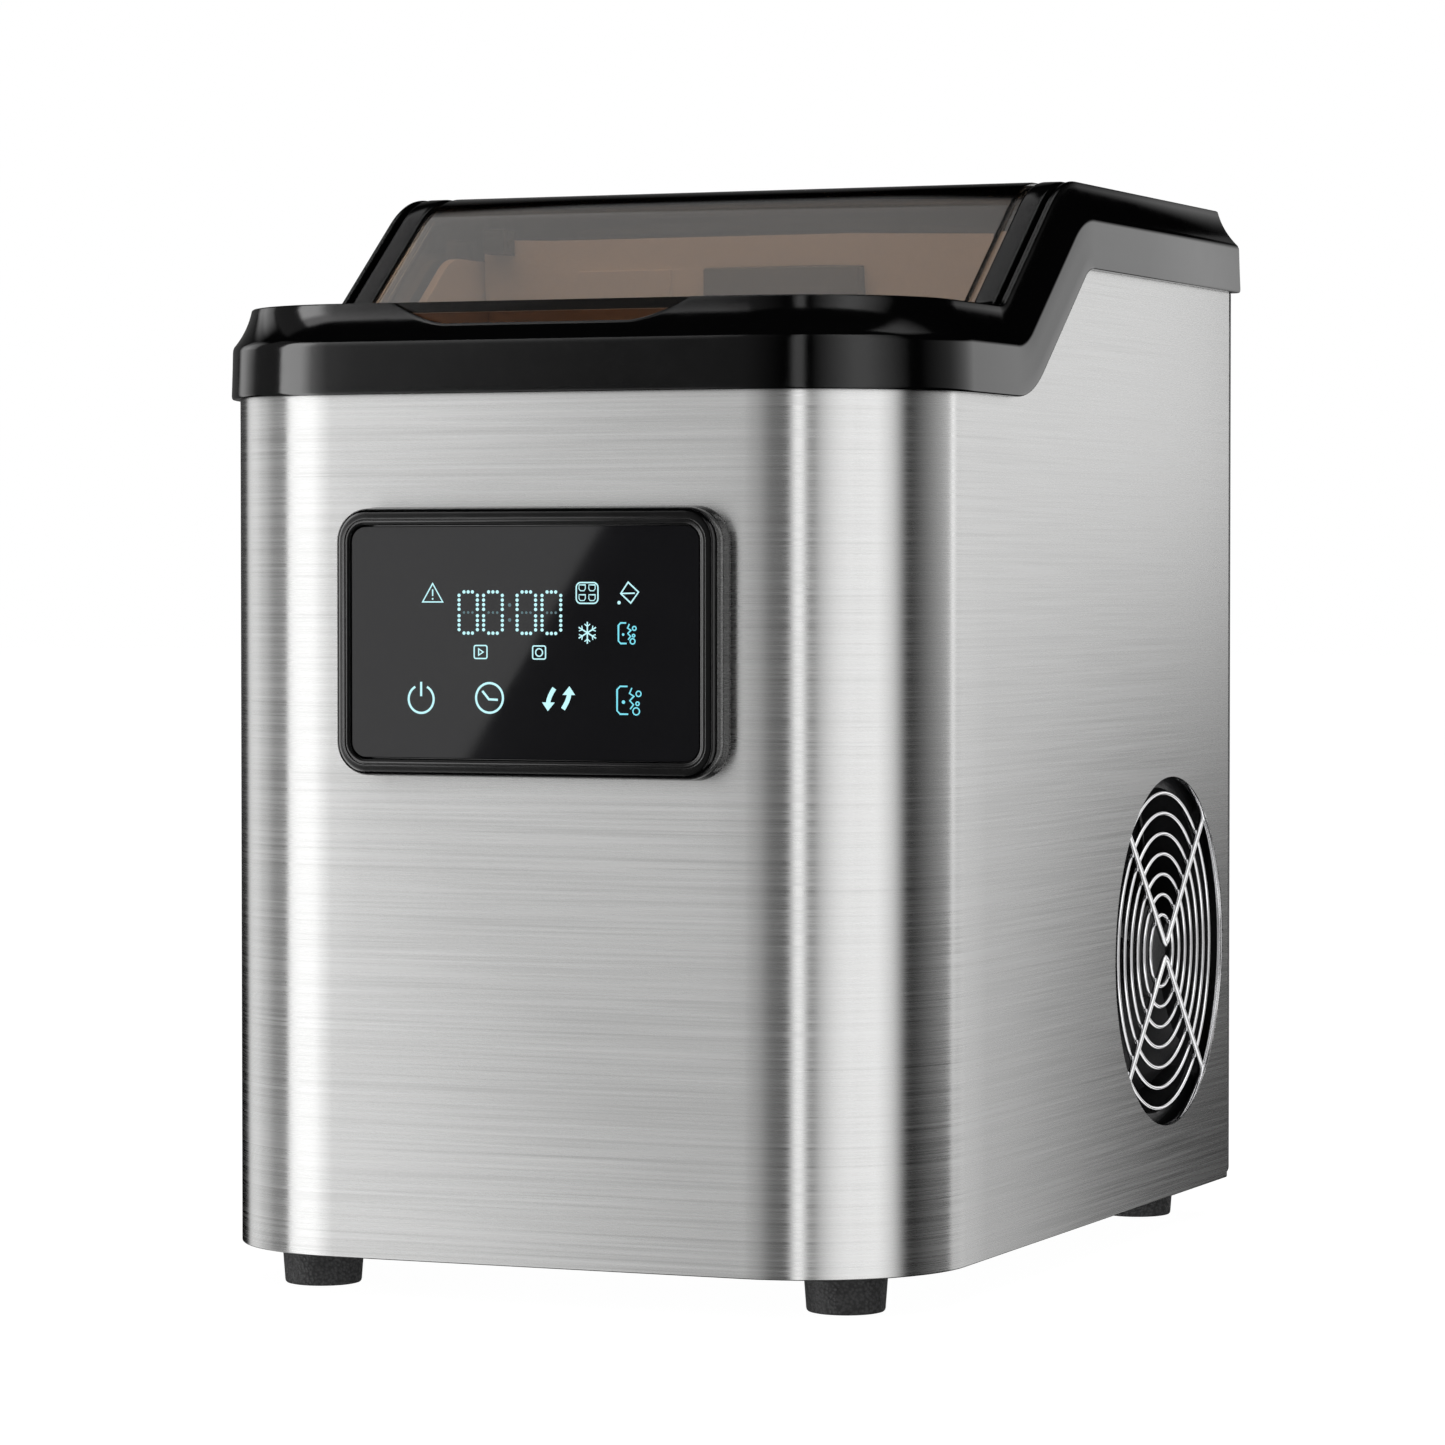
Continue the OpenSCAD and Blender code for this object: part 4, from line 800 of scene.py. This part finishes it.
def display():
    """The lit icons and the dot-matrix time, all generic."""
    line = 0.38
    white, dim, cyan = [], [], []
    for x0, x1 in ((-19.0, -13.4), (-11.5, -5.8), (-1.3, 4.3), (6.25, 11.9)):
        bright, faint = digit_dots(x0, x1, 187.9, 176.5)
        white += [dot(x, z, 0.48) for x, z in bright]
        dim += [dot(x, z, 0.36) for x, z in faint]
    dim += [dot(-3.58, z, 0.5) for z in (184.3, 180.16)]
    white.append(ribbon([(-27.1, 190.2), (-30.2, 185.1), (-24.0, 185.1)], line, True))
    white.append(ribbon([(-27.1, 188.6), (-27.1, 186.75)], line))
    white.append(dot(-27.1, 185.95, 0.26))
    white.append(ribbon(moved(round_rect(6.5, 5.7, 1.3, 5), 19.83, 187.64), line, True))
    for x in (18.35, 21.3):
        for z in (189.0, 186.3):
            cup = [(x - 0.95, z + 0.85), (x - 0.95, z - 0.2), (x - 0.55, z - 0.75), (x + 0.55, z - 0.75),
                   (x + 0.95, z - 0.2), (x + 0.95, z + 0.85)]
            white.append(ribbon(cup, 0.24, True))
    white.append(ribbon([(32.1, 190.6), (35.2, 187.9), (32.9, 184.9), (29.9, 187.5)], line, True))
    white.append(ribbon([(29.9, 187.5), (34.1, 187.6)], line))
    white.append(dot(29.4, 185.0, 0.5))
    for k in range(6):
        a = math.radians(60 * k + 30)
        c, s = math.cos(a), math.sin(a)
        white.append(ribbon([(19.89, 176.72), (19.89 + 3.0 * c, 176.72 + 3.0 * s)], line))
        for turn in (-50, 50):
            b = a + math.radians(turn)
            x, z = 19.89 + 1.7 * c, 176.72 + 1.7 * s
            white.append(ribbon([(x, z), (x + 1.1 * math.cos(b), z + 1.1 * math.sin(b))], 0.28))
    for x, z, inner in ((-12.43, 171.28, "play"), (5.35, 171.24, "ring")):
        white.append(ribbon(moved(round_rect(3.9, 3.6, 0.5, 4), x, z), 0.36, True))
        if inner == "play":
            white.append(ribbon([(x - 0.6, z + 0.9), (x + 0.8, z), (x - 0.6, z - 0.9)], 0.34, True))
        else:
            white.append(ribbon(ring_line(x, z, 1.05, 0, 345, 20), 0.34, True))
    white.append(ribbon(ring_line(-30.68, 158.1, 3.85, 118, 422, 32), 0.62))
    white.append(ribbon([(-30.68, 162.9), (-30.68, 158.9)], 0.62))
    white.append(ribbon(ring_line(-9.73, 158.6, 4.1, 0, 352, 36), 0.62, True))
    white.append(ribbon([(-11.9, 160.5), (-9.9, 158.2), (-7.2, 158.1)], 0.62))
    for side in (1, -1):
        bend = [(11.23 + side * (1.0 + 2.2 * math.sin(math.radians(a))),
                 158.56 + side * (-3.3 + 5.0 * a / 90)) for a in (8, 25, 45, 65, 80)]
        white.append(ribbon(bend, 1.3))
        x, z = bend[-1]
        white.append(patch([(x - side * 2.0, z - side * 0.1), (x + side * 1.8, z - side * 0.1),
                            (x + side * 0.1, z + side * 2.3)]))
    for x, z, scale in ((31.8, 176.65, 0.74), (32.3, 158.3, 1.0)):
        door = [(x - 0.4 * scale, z + 3.8 * scale), (x - 2.6 * scale, z + 3.8 * scale),
                (x - 3.5 * scale, z + 2.9 * scale), (x - 3.5 * scale, z - 2.9 * scale),
                (x - 2.6 * scale, z - 3.8 * scale), (x - 0.2 * scale, z - 3.8 * scale)]
        cyan.append(ribbon(door, 0.42))
        splash = [(x + 0.9 * scale, z + 3.4 * scale), (x + 0.2 * scale, z + 1.9 * scale),
                  (x + 1.5 * scale, z + 1.1 * scale), (x + 0.3 * scale, z - 0.1 * scale),
                  (x + 1.4 * scale, z - 1.2 * scale), (x + 0.4 * scale, z - 2.4 * scale)]
        cyan.append(ribbon(splash, 0.36))
        cyan.append(dot(x - 1.6 * scale, z - 0.5 * scale, 0.5 * scale))
        for u, v, r in ((2.9, 1.8, 0.75), (2.6, -0.9, 0.5), (2.2, -3.0, 1.0)):
            cyan.append(ribbon(ring_line(x + u * scale, z + v * scale, r * scale, 0, 330, 10), 0.34, True))
    for name, shells, finish in (("panel_lights", white, "glow_white"), ("panel_dim_lights", dim, "glow_dim"),
                                 ("panel_cyan_lights", cyan, "glow_cyan")):
        points, faces = joined(*shells)
        piece(name, points, faces, finish)


display()


# ---- Grille and fan ---------------------------------------------------------------------------

def fan_guard():
    wire, leg, reach = 0.66, 0.95, 57.3
    ring_x = HALF - 3.2
    leg_x = ring_x + 1.3
    shells = []
    for k in range(7):
        r = 11.05 + 6.3 * k
        path = [(ring_x, GRILLE_Y + u, GRILLE_Z + v) for u, v in circle(r, 96)]
        shells.append(tube(path, wire, 12, True))
    for up in (1, -1):
        tip, bend = 1.6, 1.5
        path = []
        far = reach / math.sqrt(2)
        for side in (-1, 1):
            run = [(side * lerp(far, bend, t), tip + lerp(far, bend, t)) for t in (0, 0.5, 1)]
            path += run if side < 0 else run[::-1]
        path.insert(3, (0, tip + 0.62))
        shells.append(tube([(leg_x, GRILLE_Y + u, GRILLE_Z + up * v) for u, v in path], leg, 14))
    points, faces = joined(*shells)
    piece("wire_guard", points, faces, "chrome", sharp=50, stands_for=("fan_guard",))


def fan():
    x, y, z = 97.0, GRILLE_Y, GRILLE_Z
    profile = [(0.5, -5.9), (14.0, -5.9), (14.9, -5.2), (14.9, 4.6), (14.2, 6.2), (12.6, 6.95), (0.5, 6.95)]
    hub = lathe(profile, (x, y, z), "x", 64)
    shells = [hub]
    for k in range(5):
        rings = []
        for j in range(11):
            t = j / 10
            r = lerp(13.5, 47.6, t)
            sweep = math.radians(72 * k + 14 * t * t)
            width = math.radians(lerp(50, 34, t))
            lift = lerp(5.6, 4.2, t)
            ring = []
            for top in (0.55, -0.55):
                run = range(9) if top > 0 else range(8, -1, -1)
                for i in run:
                    s = i / 8 - 0.5
                    a = sweep + s * width
                    h = 0.6 + 2 * lift * s + 1.3 * (0.25 - s * s) + top * (1 - 3 * s * s * 0.8)
                    ring.append((x + h, y + r * math.cos(a), z + r * math.sin(a)))
            rings.append(ring)
        shells.append(loft(rings))
    points, faces = joined(*shells)
    piece("condenser_fan", points, faces, "black_plastic", body="fan", sharp=40, stands_for=("fan_blade",))


fan_guard()
fan()


# ---- Feet -------------------------------------------------------------------------------------

def foot(name, x, y):
    h = FOOT_H
    profile = [(5.5, -h + 5), (5.5, -h + 0.3), (5.8, -h), (10.1, -h), (10.6, -h + 0.12), (10.92, -h + 0.45),
               (11.05, -h + 1.0), (11.86, 0.2), (11.86, 0.5), (2.1, 0.5), (2.1, -h + 5)]
    points, faces = lathe(profile, (x, y, 0), "z", 96)
    piece(name + "_look", points, faces, "foot_rubber", sharp=38, stands_for=(name,))


for side in ("left", "right"):
    for end in ("front", "rear"):
        name = f"foot_{end}_{side}"
        lo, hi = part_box(name)
        foot(name, (lo.x + hi.x) / 2 / MM, ((lo.y + hi.y) / 2 - steel_lo.y) / MM)


# ---- Everything else keeps its CAD shape, with softened edges ------------------------------------

BODY_OF = {n: b for b, members in frame["record"]["behaviour"]["bodies"].items() for n in members}
SLOT_OF = {s["node"]: s["material_slot"] for s in frame["record"]["subparts"]}
EDGE = {"rear_panel": 0.35, "base_pan": 0.3, "splash_guard": 0.5, "inner_liner": 0.6, "sensor_housing": 0.6,
        "ice_full_sensors": 0.4, "water_tray": 0.3, "ice_basket": 0.25, "power_board": 0.2,
        "control_board": 0.2, "fan_shroud": 0.4, "condenser_fins": 0, "rear_screws": 0.25, "cord_gland": 0.4,
        "drain_plug": 0.5, "drain_spout": 0.3}
done = {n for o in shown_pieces() for n in o.get("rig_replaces", [])}
for name in sorted(frame["nodes"]):
    if name not in done:
        refined(name, SLOT_OF[name], EDGE.get(name, 0.2), BODY_OF[name])


def rear_louvres():
    """A slanting blade behind each slot of the rear panel, so that nothing is seen straight through."""
    rows, first, pitch, middle, half = 14, 95, 11, 48, 33.5
    blades = []
    for row in range(rows):
        z = first + pitch * row
        section = [(BODY_D - 0.7, z + 2.3), (BODY_D - 0.3, z + 2.3), (BODY_D - 2.1, z - 2.5),
                   (BODY_D - 2.5, z - 2.5)]
        for side in (-1, 1):
            ends = (side * middle - half, side * middle + half)
            blades.append(loft([[(x, y, h) for y, h in section] for x in ends]))
    points, faces = joined(*blades)
    piece("rear_louvres", points, faces, "black_metal")


rear_louvres()


# ---- Stage and light ----------------------------------------------------------------------------

LIGHT_SCALE = 4.0

# Soft lights round the object, in degrees. Each row is a band of heights over the horizon (low, high, and
# the fades under and over it) and its lights. A light is left, right, the fade at each side and brightness,
# by compass angle: 0 is straight in front and 90 to the right.
WORLD = [((-38, 41, 7, 3), [(-63.5, -40, 2, 16, 1.3), (-90, -20, 2, 25, 0.12), (13.5, 18, 4, 3, 0.8),
                            (52, 60, 28, 32, 0.9)]),
         ((54, 90, 12, 0), [(112, 150, 12, 14, 0.5)]),
         ((48, 90, 6, 0), [(-146, -118, 6, 13, 0.33)]),
         ((67, 90, 7, 0), [(-180, -152, 0, 6, 0.32), (178, 180, 8, 0, 0.3)])]
# More light for the steel alone
STEEL_LIGHTS = [((-38, 38, 7, 7), [(-112, -99, 8, 26, 0.82), (-72, -67, 6, 4, 0.16), (-27, -21, 10, 18, 0.44),
                                   (-10, 6, 8, 4, 0.12), (12, 19, 3, 7, 0.55), (30, 40, 8, 22, 0.45),
                                   (69, 81, 14, 11, 0.55)]),
                ((1, 38, 4, 7), [(-180, 90, 0, 8, 0.06), (134, 138, 42, 4, 0.76)])]
# More light for everything but the steel
TRIM_LIGHTS = [((-38, 34, 7, 3), [(-62.5, -46, 2, 8, 2.0)]),
               ((-9, 14, 3, 21), [(-112, -106, 6, 18, 1.15), (-180, -122, 0, 6, 0.1)]),
               ((12, 26, 4, 10), [(-104, -93, 4, 3, 0.5)]),
               ((-6, 12, 3, 6), [(160, 166, 62, 14, 0.5), (160, 166, 34, 14, 0.43)])]
# More light for the wire guard: rings over and under it, and little between
GUARD_COMPASS = [(-180, -60, 0, 120, 0.95), (60, 180, 40, 0, 1.05)]
GUARD_LIGHTS = [((-65, -24, 10, 8), GUARD_COMPASS), ((26, 65, 8, 10), GUARD_COMPASS),
                ((-20, 22, 4, 4), [(-180, 180, 0, 0, 0.12)])]
# A soft panel behind the right side, in metres: even at its top, fading towards the floor and the left
BESIDE_LEFT, BESIDE_RIGHT, BESIDE_BACK, BESIDE_LOW, BESIDE_HIGH = 0.2, 0.66, 0.5, -0.3, 0.5
BESIDE_FOOT = [(0.25, 0.05), (0.33, 0.7), (0.66, 0.45)]
BESIDE_RISE = [(-0.04, 0.0), (0.08, 0.14), (0.25, 1.0)]
BESIDE_TOP = 0.86


def hidden_from(obj, *kinds):
    for kind in kinds:
        setattr(obj, "visible_" + kind, False)


def card(name, corners, strength, receivers):
    """A flat light that only shows in the reflections of its receivers."""
    mesh = bpy.data.meshes.new(name)
    mesh.from_pydata([Vector(c) for c in corners], [], [tuple(range(len(corners)))])
    made = placed(name, mesh)
    finish, tree = light_shader(made, name, receivers)
    light = node(tree, "ShaderNodeEmission", Strength=strength)
    shown(tree, light)
    mesh.materials.append(finish)


def light_shader(made, name, receivers):
    """An empty shader for a shape that only shows in the reflections of its receivers."""
    finish = bpy.data.materials.new(name)
    finish.use_nodes = True
    finish.node_tree.nodes.clear()
    group = bpy.data.collections.new(name + "_receivers")
    for receiver in receivers:
        group.objects.link(receiver)
    made.light_linking.receiver_collection = group
    hidden_from(made, "camera", "diffuse", "shadow", "transmission")
    made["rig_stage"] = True
    return finish, finish.node_tree


def shown(tree, light):
    """Ends a light's shader, so that what is behind the light shows as well."""
    out = node(tree, "ShaderNodeOutputMaterial")
    behind = node(tree, "ShaderNodeBsdfTransparent")
    both = node(tree, "ShaderNodeAddShader")
    link(tree, light.outputs[0], both.inputs[0])
    link(tree, behind.outputs[0], both.inputs[1])
    link(tree, both.outputs[0], out.inputs["Surface"])


def dome(name, radius, bands, receivers):
    """A wide dome of light round the object, for the reflections of its receivers."""
    rows, columns = 12, 24
    mesh = bpy.data.meshes.new(name)
    bm = bmesh.new()
    bmesh.ops.create_uvsphere(bm, u_segments=columns, v_segments=rows, radius=radius)
    bm.to_mesh(mesh)
    bm.free()
    made = placed(name, mesh)
    finish, tree = light_shader(made, name, receivers)
    coords = node(tree, "ShaderNodeTexCoord")
    way = node(tree, "ShaderNodeVectorMath", operation="NORMALIZE")
    link(tree, coords.outputs["Object"], way.inputs[0])
    light = node(tree, "ShaderNodeEmission", Strength=LIGHT_SCALE)
    link(tree, surroundings(tree, way.outputs["Vector"], bands), light.inputs["Color"])
    shown(tree, light)
    finish.cycles.emission_sampling = "NONE"
    mesh.materials.append(finish)


def floor():
    """A plain pale floor."""
    mesh = bpy.data.meshes.new("floor")
    size = 12
    corners = [(-size, -size, 0), (size, -size, 0), (size, size, 0), (-size, size, 0)]
    mesh.from_pydata(corners, [], [(0, 1, 2, 3)])
    made = placed("floor", mesh)
    finish, _, shader = material("floor", (0.1, 0.1, 0.1), 0.9)
    shader.inputs["Emission Color"].default_value = (1, 1, 1, 1)
    shader.inputs["Emission Strength"].default_value = 0.985
    mesh.materials.append(finish)
    hidden_from(made, "glossy")
    made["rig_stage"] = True


def ramp(tree, source, low, high, stops):
    """Brightness over source, from (place, brightness) stops, where places run from low to high."""
    made = node(tree, "ShaderNodeValToRGB")
    while len(made.color_ramp.elements) > 1:
        made.color_ramp.elements.remove(made.color_ramp.elements[0])
    for k, (place, value) in enumerate(stops):
        share = (place - low) / (high - low)
        element = made.color_ramp.elements[0] if k == 0 else made.color_ramp.elements.new(share)
        element.position = share
        element.color = (value / LIGHT_SCALE, value / LIGHT_SCALE, value / LIGHT_SCALE, 1)
    link(tree, ranged(tree, source, 0, 1, low, high), made.inputs["Fac"])
    return made.outputs["Color"]


def faded(start, end, fade_in, fade_out, value):
    """Stops of a value that holds from start to end and fades out over fade_in and fade_out."""
    stops = [(start, value), (end, value)]
    if fade_in:
        stops.insert(0, (start - fade_in, 0))
    if fade_out:
        stops.append((end + fade_out, 0))
    return stops


def combined(tree, kind, a, b):
    made = node(tree, "ShaderNodeVectorMath", operation=kind)
    link(tree, a, made.inputs[0])
    link(tree, b, made.inputs[1])
    return made.outputs["Vector"]


def summed(tree, parts):
    total = parts[0]
    for part in parts[1:]:
        total = combined(tree, "ADD", total, part)
    return total


def surroundings(tree, way, bands):
    """Light seen along way, from bands of heights and their lights, in shares of LIGHT_SCALE."""
    split = node(tree, "ShaderNodeSeparateXYZ")
    link(tree, way, split.inputs[0])
    back = node(tree, "ShaderNodeMath", operation="MULTIPLY")
    back.inputs[1].default_value = -1
    link(tree, split.outputs["Y"], back.inputs[0])
    compass = node(tree, "ShaderNodeMath", operation="ARCTAN2")
    link(tree, split.outputs["X"], compass.inputs[0])
    link(tree, back.outputs[0], compass.inputs[1])
    rise = node(tree, "ShaderNodeMath", operation="ARCSINE")
    link(tree, split.outputs["Z"], rise.inputs[0])
    compass_degrees = ranged(tree, compass.outputs[0], -180, 180, -math.pi, math.pi)
    rise_degrees = ranged(tree, rise.outputs[0], -180, 180, -math.pi, math.pi)
    parts = []
    for height, lights in bands:
        across = summed(tree, [ramp(tree, compass_degrees, -180, 180, faded(*light)) for light in lights])
        up = ramp(tree, rise_degrees, -180, 180, faded(*height, LIGHT_SCALE))
        parts.append(combined(tree, "MULTIPLY", across, up))
    return summed(tree, parts)


def beside_light(receivers):
    """The soft panel behind the right side, which the right face reflects."""
    mesh = bpy.data.meshes.new("beside_light")
    corners = [(BESIDE_LEFT, BESIDE_LOW), (BESIDE_RIGHT, BESIDE_LOW), (BESIDE_RIGHT, BESIDE_HIGH),
               (BESIDE_LEFT, BESIDE_HIGH)]
    mesh.from_pydata([(x, BESIDE_BACK, z) for x, z in corners], [], [(0, 1, 2, 3)])
    made = placed("beside_light", mesh)
    finish, tree = light_shader(made, "beside_light", receivers)
    coords = node(tree, "ShaderNodeTexCoord")
    split = node(tree, "ShaderNodeSeparateXYZ")
    link(tree, coords.outputs["Object"], split.inputs[0])
    shares = [(z, share * LIGHT_SCALE) for z, share in BESIDE_RISE]
    top = BESIDE_TOP / LIGHT_SCALE
    mix = node(tree, "ShaderNodeMix", data_type="RGBA")
    link(tree, ramp(tree, split.outputs["Z"], -0.5, 0.5, shares), mix.inputs["Factor"])
    link(tree, ramp(tree, split.outputs["X"], 0, 1, BESIDE_FOOT), mix.inputs["A"])
    mix.inputs["B"].default_value = (top, top, top, 1)
    light = node(tree, "ShaderNodeEmission", Strength=LIGHT_SCALE)
    link(tree, mix.outputs["Result"], light.inputs["Color"])
    shown(tree, light)
    finish.cycles.emission_sampling = "NONE"
    mesh.materials.append(finish)


def studio():
    """Soft light round the object. The camera itself sees plain white."""
    world = bpy.data.worlds.new("studio")
    bpy.context.scene.world = world
    world.use_nodes = True
    tree = world.node_tree
    tree.nodes.clear()
    coords = node(tree, "ShaderNodeTexCoord")
    light = surroundings(tree, coords.outputs["Generated"], WORLD)
    strips = node(tree, "ShaderNodeBackground", Strength=LIGHT_SCALE)
    link(tree, light, strips.inputs["Color"])
    white = node(tree, "ShaderNodeBackground", Strength=1.0)
    white.inputs["Color"].default_value = (1, 1, 1, 1)
    path = node(tree, "ShaderNodeLightPath")
    mix = node(tree, "ShaderNodeMixShader")
    link(tree, path.outputs["Is Camera Ray"], mix.inputs[0])
    link(tree, strips.outputs[0], mix.inputs[1])
    link(tree, white.outputs[0], mix.inputs[2])
    out = node(tree, "ShaderNodeOutputWorld")
    link(tree, mix.outputs[0], out.inputs["Surface"])


def overhead_light():
    """A wide soft lamp over the object, left out of the reflections."""
    data = bpy.data.lights.new("overhead", "AREA")
    data.energy = 22
    data.size = 1.6
    lamp = placed("overhead", data)
    lamp.location = (0.1, -0.3, 1.6)
    way = Vector((0, 0, 0.15)) - lamp.location
    lamp.rotation_euler = way.to_track_quat("-Z", "Y").to_euler()
    hidden_from(lamp, "glossy", "camera")


floor()
studio()
overhead_light()
LOOKS = {o.name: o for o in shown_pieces()}
steel = LOOKS["steel_cabinet"]
# Each dome has its own radius, because domes of one radius would hide each other
dome("steel_light", 4.0, STEEL_LIGHTS, [steel])
dome("trim_light", 4.4, TRIM_LIGHTS, [o for o in LOOKS.values() if o is not steel])
dome("guard_light", 4.8, GUARD_LIGHTS, [LOOKS["wire_guard"], LOOKS["grille_lip"]])
beside_light([steel])
card("window_veil", [(-0.8, -0.05, 1.1), (-0.15, -0.35, 1.1), (0.2, -0.1, 1.1), (0.2, 0.1, 1.1),
                     (-0.75, 0.49, 1.1)], 0.4, [LOOKS["smoked_lid"]])
card("panel_veil", [(-0.55, -1.5, 0.267), (-0.677, -1.5, 0.067), (-0.85, -1.5, 0.067), (-0.85, -1.5, 0.267)],
     1.9, [LOOKS["touch_glass"], LOOKS["panel_frame"]])

bpy.context.scene.view_settings.view_transform = "Standard"
